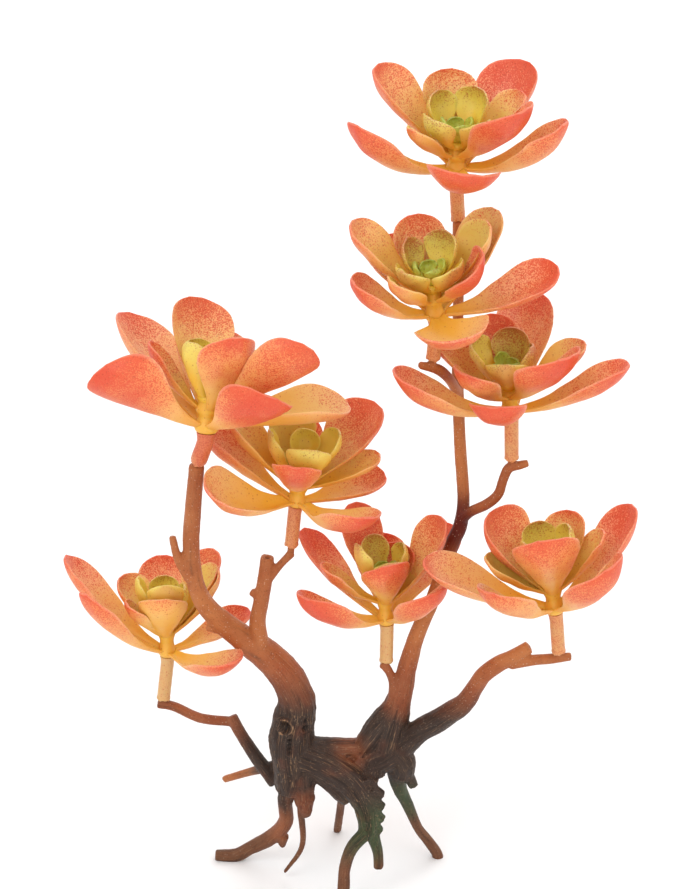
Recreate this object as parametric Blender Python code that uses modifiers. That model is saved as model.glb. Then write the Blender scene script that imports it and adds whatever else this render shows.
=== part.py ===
# Artificial succulent branch: a moulded branch on bare roots carries eight succulent heads.
# A head is a hollow stem on a peg of the branch, three rings of leaves and a small core on its pin.
# The tables are in millimetres. The root tips stand on z = 0, +Z is up and -Y faces the viewer.
import bpy
import bmesh
from math import cos, radians, sin, tan
from mathutils import Vector

MM = 0.001
CLEARANCE = 0.3          # between pieces that touch
LEAF_THICKNESS = 1.0
LEAF_CUP = 0.6           # how far a blade's edges rise, as a share of its half width
LEAF_NECK = 0.18         # width at the root, as a share of the full width
WIDEST = 0.71            # where a blade is widest, as a share of its length
TIP_ROUND = 2.6          # over 2 makes a blade's end blunter than a half circle
LEAF_EASE = 1.35         # over 1 sets the grid rows of a blade closer together towards its tip
TIP_SPOON = 0.4          # how far a blade's tip rises, as a share of its edges' rise
CUP_DRAW = 0.12          # how far the cup draws a blade's edges in, as a share of the cup
STEM_RADIUS = 2.5
STEM_BORE = 1.85         # socket in the stem's lower end
PEG_RADIUS = 1.4         # peg of the branch inside that socket
PEG_LENGTH = 6.0         # how far the peg goes into the stem
PIN_RADIUS = 1.2         # pin of the stem through the rings' hubs
HUB_BORE = 1.6
STEM_TOP = -2.0          # heights along a head's axis, from the root of its outer leaves
HUB_BOTTOM = -1.7
PIN_TOP = 12.3
ELBOW_DROP = 5.0         # how far below the outer ring a stem turns to the head's axis
WELD = 0.01              # points of one curve or blade closer than this become one
FLAT = radians(0.3)      # faces of one body that meet flatter than this become one
FLOOR_CUT = (300.0, 300.0, 40.0)     # slab that trims the root tips flat

# Rings of a head: leaves, blade length and width, width of its blunt tip, lift of the blade at its
# root and at its tip in degrees, height of the roots, their distance from the axis, the hub's top
# and radius, and grid steps across and along a blade
RINGS = {
    "outer": dict(leaves=5, length=42, width=23, tip=5, lifts=(2, 43), height=0, root_radius=2.2,
                  hub_top=3.6, hub_radius=3.4, steps=(3, 4)),
    "middle": dict(leaves=5, length=35, width=21.5, tip=4.6, lifts=(22, 65), height=6, root_radius=2.2,
                   hub_top=9.3, hub_radius=3.2, steps=(3, 4)),
    "inner": dict(leaves=4, length=21, width=14.5, tip=3.6, lifts=(22, 82), height=10.5, root_radius=2.2,
                  hub_top=12.6, hub_radius=3, steps=(2, 3)),
    "core": dict(leaves=4, length=9.5, width=6.8, tip=2.4, lifts=(28, 90), height=13.6, root_radius=1,
                 hub_top=16, hub_radius=2, steps=(1, 2)),
}

# Heads: centre of the outer ring, lean of the axis to the right and away in degrees, size factor,
# factor on the rings' heights, direction of the first leaf of each ring (0 is right, -90 faces the
# viewer), the point of the branch that the peg stands on, and the peg's free length below the stem
HEADS = {
    "top": dict(hub=(40, 10, 288.5), lean=(0, -6), size=1, stack=0.8, turns=(-86, -46, -45, 10),
                seat=(41, 10, 268.5), seat_gap=0.3),
    "upper": dict(hub=(32.5, -12, 242.5), lean=(-6, -8), size=0.98, stack=1, turns=(-86, -46, -45, 10),
                  seat=(32, -9, 222), seat_gap=2.4),
    "right": dict(hub=(60, -8, 204), lean=(-5, -4), size=1.02, stack=0.92, turns=(-90, -50, -95, -60),
                  seat=(61, -6, 181.5), seat_gap=2.4),
    "low_right": dict(hub=(77.5, -15, 128.5), lean=(-9, -4), size=0.98, stack=1.2, turns=(-126, -90, -70, 10),
                      seat=(80, -12, 106), seat_gap=2.4),
    "low_middle": dict(hub=(16.5, 0, 115.7), lean=(-3, -4), size=0.92, stack=1.35, turns=(-46, -85, -70, 10),
                       seat=(16.5, 1, 94), seat_gap=3),
    "left_middle": dict(hub=(-16.5, 5, 162), lean=(9, -4), size=0.95, stack=1, turns=(-45, -100, -85, 10),
                        seat=(-19, 6, 139.5), seat_gap=3.4),
    "big_left": dict(hub=(-48, -8, 198), lean=(5, 10), size=1.22, stack=0.78, turns=(-124, -85, -45, 10),
                     seat=(-52, -6, 181.5), seat_gap=1),
    "low_left": dict(hub=(-66.5, 18, 92), lean=(0, -2), size=0.92, stack=1.35, turns=(-52, -95, -85, 10),
                     seat=(-69, 19, 67.5), seat_gap=2.8),
}

# How each large leaf differs from its ring's even spacing: turn, lift at the root and at the tip
# in degrees, length and width factors, and roll in degrees
LEAF_CHANGES = {
    "top": {
        "outer": [(-2, -12, 4, 0.93, 1.2, -6), (0, -8, 16, 1.07, 1.15, -12),
                  (-13, 20, 12, 1.08, 1.22, 0), (0, 22, 4, 0.62, 0.9, 0), (-4, -10, 22, 1.1, 1.02, 12)],
        "middle": [(5, 0, -10, 1.06, 1.35, 0), (-11, 2, -10, 0.88, 0.85, 0),
                   (5, 20, 6, 0.86, 1.02, 0), (-6, 8, -8, 1.18, 1.12, 0),
                   (-24, -4, -10, 0.72, 0.65, -8)],
        "inner": [(0, 4, -16, 0.8, 1, 0), (-7, 24, -2, 1.02, 1.25, 0), (12, 20, 2, 0.98, 1.2, 0),
                  (0, 4, -14, 0.92, 1.1, 0)],
    },
    "upper": {
        "outer": [(9, -14, -14, 0.82, 1.25, -5), (8, -2, -7, 1.13, 0.93, 12),
                  (-21, 24, 18, 1.02, 0.88, 0), (2, 26, 0, 0.8, 1, 0), (-4, 4, 20, 0.86, 1, 4)],
        "middle": [(14, 0, -3, 0.88, 1.15, 25), (-4, 6, -4, 0.95, 1, 0), (8, 20, 8, 0.88, 0.95, 0),
                   (-4, 12, -6, 1.14, 1.05, 0), (-10, -4, -6, 0.74, 0.8, -8)],
        "inner": [(0, 4, -23, 0.82, 1.15, 0), (-3, 24, 0, 1.02, 1.25, 0), (13, 21, 6, 0.98, 0.95, 0),
                  (2, 4, -21, 0.86, 1.15, 0)],
    },
    "right": {
        "outer": [(-16, -6, 19, 0.66, 0.95, 0), (0, 6, -4, 1.1, 0.95, -10),
                  (17, 26, 14, 1.05, 0.98, 0), (-26, 18, 2, 0.75, 0.7, 0), (-2, 0, 12, 1.14, 1.05, 4)],
        "middle": [(5, 2, -15, 0.98, 1.35, -8), (-10, -6, -26, 0.88, 0.86, 0),
                   (16, 18, 0, 0.84, 0.9, 0), (-11, 0, -12, 0.95, 0.86, 0),
                   (-14, -4, -6, 0.8, 0.95, 0)],
        "inner": [(0, 8, -14, 0.9, 1.1, 0), (-4, 20, 0, 0.85, 0.9, 0), (-12, 24, 4, 0.98, 1.05, 0),
                  (0, 16, -6, 1.03, 1.25, 0)],
    },
    "low_right": {
        "outer": [(-12, 9, 16, 0.93, 1.1, 0), (10, 16, 16, 1, 1.33, 0), (2, 20, 14, 1.14, 0.95, 0),
                  (0, 16, 6, 0.8, 1, 0), (22, 14, 2, 1.26, 1.05, 0)],
        "middle": [(3, 22, 10, 1.08, 1.25, 5), (20, 10, -8, 0.86, 0.72, 0),
                   (-2, 20, 0, 0.86, 0.88, 0), (35, 18, 2, 1.08, 1.48, 0),
                   (-4, 6, -8, 0.88, 0.72, -16)],
        "inner": [(0, 28, 2, 1, 1, 0), (-6, 24, 4, 1.08, 1.04, 0), (-3, 23, 0, 1.05, 1.05, 0),
                  (2, 26, 6, 0.97, 0.95, 0)],
    },
    "low_middle": {
        "outer": [(0, 16, 14, 0.92, 1.15, 0), (22, 10, 0, 1.15, 0.95, 0), (-4, 24, 12, 0.85, 1, 0),
                  (-18, 24, 14, 1.17, 0.7, 0), (-34, -2, 14, 1, 1.28, 20)],
        "middle": [(5, 24, 10, 0.8, 1.02, 8), (22, 14, 6, 1.24, 1.1, 10), (0, 18, 2, 0.68, 0.9, 0),
                   (-8, 22, 10, 1.2, 0.9, 0), (-14, 0, -10, 0.9, 0.72, 14)],
        "inner": [(0, 26, -4, 0.9, 1, 0), (-4, 24, 4, 1, 1.03, 0), (7, 26, 0, 1.08, 0.9, 0),
                  (5, 25, 6, 1.25, 0.9, 0)],
    },
    "left_middle": {
        "outer": [(0, -20, 4, 0.95, 1.15, -12), (-18, 4, -8, 0.82, 0.88, 6), (0, 20, 10, 0.85, 1, 0),
                  (0, 16, -6, 1.1, 1, 0), (-26, -6, -10, 1.1, 1.27, -8)],
        "middle": [(0, 1, -5, 0.87, 0.96, 5), (30, -4, -20, 0.94, 0.68, 8),
                   (-14, 11, -8, 1.24, 1.32, 0), (0, 12, 4, 0.9, 1, 0), (-24, 0, -20, 1.05, 1, 0)],
        "inner": [(0, 6, -2, 1.22, 1.3, 0), (4, 18, 0, 1.16, 1.15, 0), (-3, 21, 3, 0.9, 0.9, 0),
                  (2, 8, -6, 1.14, 1.05, 0)],
    },
    "big_left": {
        "outer": [(-36, 9, -2, 0.84, 1.05, 64), (0, 10, 0, 0.72, 1, -36), (-6, 2, -34, 0.97, 1, 14),
                  (0, 20, 0, 0.9, 1, 0), (-24, 20, 2, 1.06, 1, 12)],
        "middle": [(24, 24, 8, 0.82, 0.92, 0), (-18, 4, -14, 1.1, 0.9, -56),
                   (-32, 10, -6, 0.66, 0.7, 0), (-20, 22, -2, 1, 1.05, 14), (-34, 6, -5, 0.73, 0.6, 6)],
        "inner": [(0, 30, 2, 0.9, 0.9, 0), (4, 22, 4, 0.85, 1, 0), (-3, 24, 0, 0.86, 0.97, 0),
                  (3, 26, 2, 0.94, 0.85, 0)],
    },
    "low_left": {
        "outer": [(5, -12, -4, 1.05, 1.05, -4), (0, 0, -12, 0.88, 0.75, 0), (4, 20, 12, 1, 1, 0),
                  (1, 18, 17, 1.38, 1, 16), (-31, 22, 22, 1.2, 0.85, 8)],
        "middle": [(2, 18, 12, 0.82, 1.02, 0), (36, 12, 4, 1.04, 1, 0), (-16, 16, 0, 1.14, 1, 0),
                   (29, 6, -6, 0.85, 0.95, 0), (20, 14, -6, 0.72, 0.72, 0)],
        "inner": [(0, 26, 6, 1.15, 1.15, 0), (-4, 22, 5, 0.88, 1.03, 0), (3, 23, 0, 0.9, 0.96, 0),
                  (-2, 20, 3, 1.12, 0.85, 0)],
    },
}
CORE_CHANGES = [(0, 0, 0, 1, 1, 0), (9, 8, 6, 0.85, 1.1, 0), (-6, -6, 8, 1.1, 0.95, 0),
                (5, 4, -8, 0.9, 1.05, 0)]

# Routes of the branch's stems, twigs and roots: x, y, z and radius of each point
BRANCH_ROUTES = {
    "main_stem": [(41, 10, 268.5, 2.1), (41.5, 11, 238.5, 2), (41.5, 11, 219.5, 2.1), (42, 10, 202.5, 2.2),
                  (43, 7, 182.5, 2.3), (44.5, 6, 162.5, 2.4), (43.5, 5, 152, 2.7), (40.5, 4, 144.5, 2.8),
                  (34, 1, 124.5, 2.8), (28.5, 1, 110, 3.1), (25.5, 2, 98.5, 3.5), (22.5, 3, 83.5, 4.3),
                  (19, 4, 69, 6.2), (15.5, 4, 54.5, 6.4)],
    "right_flare": [(21.5, 3, 79, 4.2), (12, 4, 63.5, 5.6), (7.5, 4, 56, 4.6)],
    "upper_twig": [(42, 10, 202.5, 2), (38.5, 0, 212.5, 1.9), (34, -7, 219.5, 2), (27.5, -12.5, 223.5, 1.4)],
    "right_twig": [(43.5, 5, 154, 2.2), (47, 2, 159, 2), (52.5, -3, 164.5, 2), (56.5, -5, 169.5, 1.9),
                   (58, -6, 175.5, 1.8), (60, -6, 180.5, 1.9), (63.5, -6, 181.5, 1.7), (67, -6, 182.5, 1.4)],
    "right_branch": [(21.5, 4, 56.5, 5.4), (28.5, 1, 66, 4.7), (39, -3, 76, 4.5), (45.5, -6, 83, 3.9),
                     (49.5, -8, 91, 3.3), (52.5, -10, 97.5, 3.2), (57.5, -11, 102.5, 3.2),
                     (62.5, -12, 106, 2.9), (69, -12, 110.5, 2.5)],
    "low_right_twig": [(62, -12, 103.5, 2.4), (71, -12, 105, 2.1), (77, -12, 105.5, 2),
                       (84.5, -12, 106.5, 1.6)],
    "low_middle_twig": [(14.5, 1, 96, 1.6), (17, 1, 94, 1.7), (19, 1, 88, 1.6), (19, 2, 80.5, 1.9),
                        (19, 3, 72, 2.4)],
    "left_trunk": [(-52, -6, 181.5, 2.9), (-53.5, -4, 166.5, 3.1), (-55, -2, 149.5, 3.2),
                   (-54.5, 0, 134, 3.3), (-51.5, 3, 121.5, 3.7), (-45.5, 5, 112.5, 4.4),
                   (-37, 7, 103.5, 5.1), (-28.5, 7, 96.5, 6), (-21.5, 5, 89.5, 6.7), (-17, 4, 78.5, 7.3),
                   (-18.5, 4, 68, 8.7), (-19.5, 4, 59.5, 8.8), (-19, 4, 48.5, 7.8), (-20.5, 4, 39, 6)],
    "left_stub": [(-27.5, 6, 138.5, 2.6), (-28.5, 6, 129.5, 2.9), (-30, 5, 120.5, 3), (-31.5, 5, 111.5, 3.2),
                  (-30.5, 5, 102, 3.4)],
    "left_stub_knob": [(-31.5, 5.5, 122.5, 1.5), (-34, 6, 124, 1.5)],
    "left_middle_twig": [(-18.5, 6, 140, 1.7), (-22.5, 6, 135.5, 1.5), (-28, 6, 128, 1.8)],
    "low_left_twig": [(-71, 19, 68.5, 2), (-64.5, 19, 67, 1.9), (-54.5, 18, 62.5, 2), (-42.5, 17, 61.5, 2)],
    "low_left_branch": [(-42.5, 17, 64, 2.3), (-39.5, 15, 58.5, 2.4), (-33, 12, 48.5, 2.7),
                        (-25.5, 9, 39, 3.2)],
    "trunk_stub": [(-55, -2, 145.5, 1.9), (-59.5, -3, 152.5, 1.5)],
    "lower_knob": [(-45.5, 4, 109, 2), (-50.5, 4, 110, 1.5)],
    "bridge": [(-14, 4, 56, 6), (1, 4, 57.5, 4.2), (17.5, 4, 57.5, 5)],
    "diagonal_root": [(-16, 2, 56, 6.4), (-4.5, 0, 52, 6.4), (3.5, -3, 47.5, 6.2), (8.5, -6, 40.5, 5.4),
                      (10, -8, 33, 4.6), (10, -9, 27.5, 3.6)],
    "front_foot": [(10, -9, 29, 3), (4, -13, 24, 2.5), (1, -18, 18, 2.3), (0.5, -22, 11, 2.4),
                   (-1, -28, 1.5, 2.4), (-1.5, -30, -2, 2.4)],
    "front_toe": [(10.5, -9, 31, 3), (13.5, -9, 20, 2.2), (14, -9, 12, 2)],
    "scallop_top": [(11.5, -6, 44, 3), (14.5, -6, 43.5, 2)],
    "scallop_middle": [(11.5, -7, 39, 3), (14.5, -7, 38, 2)],
    "scallop_low": [(12, -8, 33, 2.8), (14.5, -8, 32, 2)],
    "left_foot": [(-21, 4, 45.5, 5), (-22, 5, 33.5, 3.1), (-22, 8, 22, 3), (-28, 12, 12, 3.2),
                  (-36, 14, 6, 2.8), (-42, 15, 2, 2.8), (-50, 15, 2, 2.3)],
    "left_nub": [(-22.5, 9, 15, 2), (-23.5, 10, 9.5, 1.4)],
    "lobe": [(-15, 2, 50, 5), (-14.5, 2, 36.5, 4), (-14, 2, 28.5, 2.2)],
    "thin_root": [(-16, 2, 32, 1.5), (-15.5, 2, 15, 1.2), (-22.5, 2, 2.5, 0.8)],
    "back_stub": [(-24, 10, 46, 3.2), (-33, 20, 38, 1.9), (-46.5, 30, 27.5, 1.5)],
    "back_root": [(0, 1, 52, 4), (1, 9, 43, 3), (0, 23, 24.5, 1.8), (-2, 35, 1, 1.7), (-2, 36, -1.5, 1.7)],
    "right_foot": [(21.5, 4, 51.5, 5.4), (21.5, 7, 40, 3.2), (25.5, 11, 27.5, 2.4), (29.5, 14, 15.5, 2),
                   (33.5, 16.5, 8, 2.1), (37, 17, 2, 2.2), (38, 17, -2, 2.2)],
    "right_knob": [(19.5, 3, 58, 5), (23.5, 2, 52.5, 5), (23.5, 3, 45.5, 3.6)],
    "right_nub": [(25.5, 3, 45.5, 2.4), (27.5, 3, 41, 1.9)],
}
THICK_TUBE = 3.5         # routes with a radius over this get eight sides, the others six
LONG_STRETCH = 11.0      # a longer stretch of a route gets a point at its middle

COLOURS = {
    "branch": ((0.16, 0.06, 0.03), 0.45),
    "stem": ((0.78, 0.34, 0.13), 0.5),
    "outer": ((0.83, 0.22, 0.12), 0.5),
    "middle": ((0.86, 0.33, 0.13), 0.5),
    "inner": ((0.55, 0.42, 0.08), 0.5),
    "core": ((0.3, 0.42, 0.06), 0.5),
}


def clear_scene():
    for old in list(bpy.data.objects):
        bpy.data.objects.remove(old)


def new_collection(name):
    group = bpy.data.collections.new(name)
    bpy.context.scene.collection.children.link(group)
    return group


def make_material(name, colour, roughness):
    material = bpy.data.materials.new(name)
    material.use_nodes = True
    shader = material.node_tree.nodes["Principled BSDF"]
    shader.inputs["Base Color"].default_value = (*colour, 1.0)
    shader.inputs["Roughness"].default_value = roughness
    shader.inputs["Metallic"].default_value = 0.0
    return material


def put_in(group, item):
    for old in list(item.users_collection):
        old.objects.unlink(item)
    group.objects.link(item)


def evaluated_copy(item, name, weld=WELD, merge_flat=False):
    # A new object with the item's evaluated shape, welded, in triangles and in world space
    depsgraph = bpy.context.evaluated_depsgraph_get()
    mesh = bpy.data.meshes.new_from_object(item.evaluated_get(depsgraph))
    mesh.transform(item.matrix_world)
    shape = bmesh.new()
    shape.from_mesh(mesh)
    bmesh.ops.remove_doubles(shape, verts=shape.verts, dist=weld * MM)
    bmesh.ops.recalc_face_normals(shape, faces=shape.faces)
    if merge_flat:
        bmesh.ops.dissolve_limit(shape, angle_limit=FLAT, verts=shape.verts, edges=shape.edges)
    bmesh.ops.triangulate(shape, faces=shape.faces)
    shape.to_mesh(mesh)
    shape.free()
    mesh.name = name
    copy = bpy.data.objects.new(name, mesh)
    bpy.context.scene.collection.objects.link(copy)
    bpy.data.objects.remove(item)
    return copy


def smooth_route(route):
    # Two points a stretch on a smooth curve through the route's own points
    ends = [2 * Vector(route[0]) - Vector(route[1])], [2 * Vector(route[-1]) - Vector(route[-2])]
    points = ends[0] + [Vector(point) for point in route] + ends[1]
    smooth = []
    for before, start, end, after in zip(points, points[1:], points[2:], points[3:]):
        smooth.append(start)
        if (end - start).xyz.length > LONG_STRETCH:
            smooth.append((9 * (start + end) - before - after) / 16)
    return smooth + [Vector(route[-1])]


def tube(name, points, sides):
    # Points hold x, y, z and radius
    curve = bpy.data.curves.new(name, "CURVE")
    curve.dimensions = "3D"
    curve.bevel_depth = MM
    curve.bevel_resolution = sides // 2 - 2
    curve.use_fill_caps = True
    spline = curve.splines.new("POLY")
    spline.points.add(len(points) - 1)
    for target, point in zip(spline.points, points):
        target.co = (point[0] * MM, point[1] * MM, point[2] * MM, 1)
        target.radius = point[3]
    item = bpy.data.objects.new(name, curve)
    bpy.context.scene.collection.objects.link(item)
    return evaluated_copy(item, name)


def rod(name, start, end, radius, sides=8):
    # A straight cylinder between two points
    return tube(name, [(*start, radius), (*end, radius)], sides)


def join_solids(name, solids, cutters, group, material):
    # One body: the union of the solids, less the cutters
    body, others = solids[0], solids[1:]
    operands = new_collection(name + "_operands")
    for item in others:
        put_in(operands, item)
    if others:
        union = body.modifiers.new("union", "BOOLEAN")
        union.operation = "UNION"
        union.operand_type = "COLLECTION"
        union.collection = operands
        union.solver = "EXACT"
    for cutter in cutters:
        cut = body.modifiers.new("cut", "BOOLEAN")
        cut.operation = "DIFFERENCE"
        cut.object = cutter
        cut.solver = "EXACT"
    joined = evaluated_copy(body, name, WELD / 20, True)
    for item in others + cutters:
        bpy.data.objects.remove(item)
    bpy.data.collections.remove(operands)
    put_in(group, joined)
    joined.data.materials.clear()
    joined.data.materials.append(material)
    joined.data.shade_smooth()
    joined.data.set_sharp_from_angle(angle=radians(40))
    return joined


def head_axes(lean):
    # Right, away and up of a head whose axis leans
    up = Vector((tan(radians(lean[0])), tan(radians(lean[1])), 1)).normalized()
    right = (Vector((1, 0, 0)) - up.x * up).normalized()
    return right, up.cross(right), up


def blade_width(along):
    # From the neck to the widest place, then a round end
    rise = min(along / WIDEST, 1)
    fall = max((along - WIDEST) / (1 - WIDEST), 0)
    neck_to_full = LEAF_NECK + (1 - LEAF_NECK) * rise * rise * (3 - 2 * rise)
    return neck_to_full * max(1 - fall ** TIP_ROUND, 0) ** 0.5


def leaf_point(across, along, leaf, axes):
    # Across runs from -1 to 1 over the blade, along from 0 at the root to 1 at the tip
    right, away, up = axes
    turn = radians(leaf["turn"])
    outward = cos(turn) * right + sin(turn) * away
    sideways = cos(turn) * away - sin(turn) * right
    step = 1 - (1 - along) ** LEAF_EASE
    first_lift = radians(leaf["lifts"][0])
    bend = radians(leaf["lifts"][1]) - first_lift
    lift = first_lift + bend * step
    reach = leaf["length"] * (sin(lift) - sin(first_lift)) / bend
    rise = leaf["length"] * (cos(first_lift) - cos(lift)) / bend
    face = cos(lift) * up - sin(lift) * outward
    roll = radians(leaf["roll"]) * step
    side = cos(roll) * sideways + sin(roll) * face
    cup_way = cos(roll) * face - sin(roll) * sideways
    blunt = leaf["tip"] / 2
    share = blade_width(step)
    half = max(leaf["width"] / 2 * share, blunt)
    flat = half * across * (1 - CUP_DRAW * LEAF_CUP * abs(across))
    bowl = share * across ** 2
    if step > WIDEST:
        flattened = ((step - WIDEST) / (1 - WIDEST)) ** 2
        bowl = across ** 2 * (1 - flattened) + TIP_SPOON * flattened
    cup = LEAF_CUP * leaf["width"] / 2 * bowl
    return leaf["root"] + outward * (leaf["root_radius"] + reach) + up * rise + side * flat + cup_way * cup


def leaf_solid(name, leaf, axes, steps):
    # A grid bent into the blade, then given its thickness
    bpy.ops.mesh.primitive_grid_add(x_subdivisions=steps[0], y_subdivisions=steps[1], size=2)
    item = bpy.context.object
    for vertex in item.data.vertices:
        vertex.co = leaf_point(vertex.co.x, (vertex.co.y + 1) / 2, leaf, axes) * MM
    solid = item.modifiers.new("thickness", "SOLIDIFY")
    solid.thickness = LEAF_THICKNESS * MM
    solid.offset = 0
    return evaluated_copy(item, name)


def ring_leaves(head_name, ring_name, axes):
    # The places and shapes of one ring's leaves
    head, ring = HEADS[head_name], RINGS[ring_name]
    size = head["size"]
    first = head["turns"][list(RINGS).index(ring_name)]
    changes = LEAF_CHANGES[head_name].get(ring_name, CORE_CHANGES)
    for number, (turn, root_lift, tip_lift, length, width, roll) in enumerate(changes):
        yield dict(
            root=Vector(head["hub"]) + axes[2] * ring["height"] * head["stack"] * size,
            root_radius=ring["root_radius"] * size,
            turn=first + 360 / ring["leaves"] * number + turn,
            lifts=(ring["lifts"][0] + root_lift, ring["lifts"][1] + tip_lift),
            length=ring["length"] * length * size,
            width=ring["width"] * width * size,
            tip=ring["tip"] * size,
            roll=roll,
        )


def hub_span(head, ring_name):
    # The heights of a hub's ends along the axis, clear of the hub below
    names = list(RINGS)
    scale = head["stack"] * head["size"]
    high = RINGS[ring_name]["hub_top"] * scale
    if ring_name == names[0]:
        return HUB_BOTTOM * head["size"], high
    below = RINGS[names[names.index(ring_name) - 1]]
    return below["hub_top"] * scale + CLEARANCE, high


def build_ring(head_name, ring_name, axes, group, material):
    head, ring = HEADS[head_name], RINGS[ring_name]
    name = head_name + ("_core" if ring_name == "core" else "_" + ring_name + "_leaves")
    size, hub, up = head["size"], Vector(head["hub"]), axes[2]
    low, high = hub_span(head, ring_name)
    radius = ring["hub_radius"] * size
    solids = [rod(name + "_hub", hub + up * low, hub + up * high, radius)]
    cutters = []
    if ring_name != "core":
        bore_ends = hub + up * (low - 1), hub + up * (high + 1)
        cutters.append(rod(name + "_bore", *bore_ends, HUB_BORE * size))
    for leaf in ring_leaves(head_name, ring_name, axes):
        solids.append(leaf_solid(name + "_blade", leaf, axes, ring["steps"]))
    return join_solids(name, solids, cutters, group, material)


def stem_line(head_name, axes):
    # The stem's foot, its elbow below the outer ring, and the direction between them
    head = HEADS[head_name]
    seat = Vector(head["seat"])
    elbow = Vector(head["hub"]) - axes[2] * ELBOW_DROP * head["size"]
    way = (elbow - seat).normalized()
    return seat + way * head["seat_gap"], elbow, way


def build_stem(head_name, axes, group, material):
    # A hollow stem over the peg, with a pin that the rings sit on
    head = HEADS[head_name]
    name, size = head_name + "_stem", head["size"]
    hub, up = Vector(head["hub"]), axes[2]
    foot, elbow, way = stem_line(head_name, axes)
    radius = STEM_RADIUS * max(size, 1)
    points = [(*foot, radius), (*elbow, radius), (*(hub + up * STEM_TOP * size), radius)]
    solids = [tube(name, points, 10)]
    pin_ends = hub + up * (STEM_TOP - 1) * size, hub + up * PIN_TOP * head["stack"] * size
    solids.append(rod(name + "_pin", *pin_ends, PIN_RADIUS * size))
    bore = rod(name + "_bore", foot - way * 2, foot + way * (PEG_LENGTH + 2 * CLEARANCE), STEM_BORE)
    return join_solids(name, solids, [bore], group, material)


def build_branch(group, material):
    # Stems, twigs, roots and the pegs in one moulding, trimmed flat at the floor
    solids = []
    for name, route in BRANCH_ROUTES.items():
        sides = 8 if max(point[3] for point in route) > THICK_TUBE else 6
        solids.append(tube(name, smooth_route(route), sides))
    for head_name, head in HEADS.items():
        foot, elbow, way = stem_line(head_name, head_axes(head["lean"]))
        solids.append(rod(head_name + "_peg", Vector(head["seat"]) - way, foot + way * PEG_LENGTH,
                          PEG_RADIUS))
    bpy.ops.mesh.primitive_cube_add(size=1, location=(0, 0, -FLOOR_CUT[2] / 2 * MM))
    floor = bpy.context.object
    floor.scale = Vector(FLOOR_CUT) * MM
    bpy.context.view_layer.update()
    return join_solids("branch", solids, [floor], group, material)


def build():
    clear_scene()
    parts = new_collection("artificial_succulent_branch")
    materials = {name: make_material(name, *look) for name, look in COLOURS.items()}
    build_branch(parts, materials["branch"])
    for head_name, head in HEADS.items():
        axes = head_axes(head["lean"])
        build_stem(head_name, axes, parts, materials["stem"])
        for ring_name in RINGS:
            build_ring(head_name, ring_name, axes, parts, materials[ring_name])


build()
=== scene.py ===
import random
from math import cos, pi, radians, sin, tan

import bmesh
import bpy
import numpy as np
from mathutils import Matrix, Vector, noise


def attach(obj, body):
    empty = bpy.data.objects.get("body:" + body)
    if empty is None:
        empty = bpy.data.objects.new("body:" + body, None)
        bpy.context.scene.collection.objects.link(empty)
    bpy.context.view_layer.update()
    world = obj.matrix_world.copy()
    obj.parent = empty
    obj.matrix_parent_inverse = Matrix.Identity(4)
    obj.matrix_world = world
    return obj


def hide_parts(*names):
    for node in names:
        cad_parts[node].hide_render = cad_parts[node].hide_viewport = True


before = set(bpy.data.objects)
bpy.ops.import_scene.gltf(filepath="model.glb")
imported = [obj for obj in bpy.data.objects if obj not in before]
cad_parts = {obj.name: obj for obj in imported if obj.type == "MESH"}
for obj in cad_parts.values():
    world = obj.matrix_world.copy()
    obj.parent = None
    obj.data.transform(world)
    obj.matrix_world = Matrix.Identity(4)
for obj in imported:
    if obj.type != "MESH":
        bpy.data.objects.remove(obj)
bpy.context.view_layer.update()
mm = 0.001


def deselectAll():
    bpy.ops.object.select_all(action="DESELECT")


def makeActive(piece):
    deselectAll()
    piece.select_set(True)
    bpy.context.view_layer.objects.active = piece


def applyModifier(piece, kind, **values):
    makeActive(piece)
    modifier = piece.modifiers.new(kind.lower(), kind)
    for key, value in values.items():
        setattr(modifier, key, value)
    bpy.ops.object.modifier_apply(modifier=modifier.name)


def joinAll(pieces, name):
    makeActive(pieces[0])
    for piece in pieces[1:]:
        piece.select_set(True)
    bpy.ops.object.join()
    joined = bpy.context.object
    joined.name = joined.data.name = name
    return joined


def getPoints(piece):
    points = np.empty(len(piece.data.vertices) * 3)
    piece.data.vertices.foreach_get("co", points)
    return points.reshape(-1, 3)


def setPoints(piece, points):
    piece.data.vertices.foreach_set("co", np.ascontiguousarray(points, dtype=float).ravel())
    piece.data.update()


def setMarks(piece, name, values):
    # one RGBA value for each point, for the materials to read
    marks = piece.data.color_attributes.new(name, "FLOAT_COLOR", "POINT")
    full = np.ones((len(piece.data.vertices), 4))
    full[:, :values.shape[1]] = values
    marks.data.foreach_set("color", full.ravel())


def finishPiece(piece, node, material, angle=40):
    makeActive(piece)
    bpy.ops.object.transform_apply(location=True, rotation=True, scale=True)
    piece.data.materials.clear()
    piece.data.materials.append(material)
    bpy.ops.object.shade_smooth_by_angle(angle=radians(angle))
    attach(piece, "root")
    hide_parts(node)


def turnedPiece(name, profile, sides=28):
    # a disc that is extruded and widened from ring to ring: radius and height in mm
    deselectAll()
    radius, height = profile[0]
    bpy.ops.mesh.primitive_circle_add(vertices=sides, radius=radius * mm, fill_type="NGON",
                                      location=(0, 0, 0), enter_editmode=True)
    bpy.ops.mesh.select_all(action="SELECT")
    bpy.ops.transform.translate(value=(0, 0, height * mm))
    for (radius, height), (nextRadius, nextHeight) in zip(profile, profile[1:]):
        step = (0, 0, (nextHeight - height) * mm)
        bpy.ops.mesh.extrude_region_move(TRANSFORM_OT_translate={"value": step})
        wider = nextRadius / radius
        bpy.ops.transform.resize(value=(wider, wider, 1))
    bpy.ops.mesh.select_all(action="SELECT")
    bpy.ops.mesh.normals_make_consistent(inside=False)
    bpy.ops.object.mode_set(mode="OBJECT")
    piece = bpy.context.object
    piece.name = name
    return piece


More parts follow.
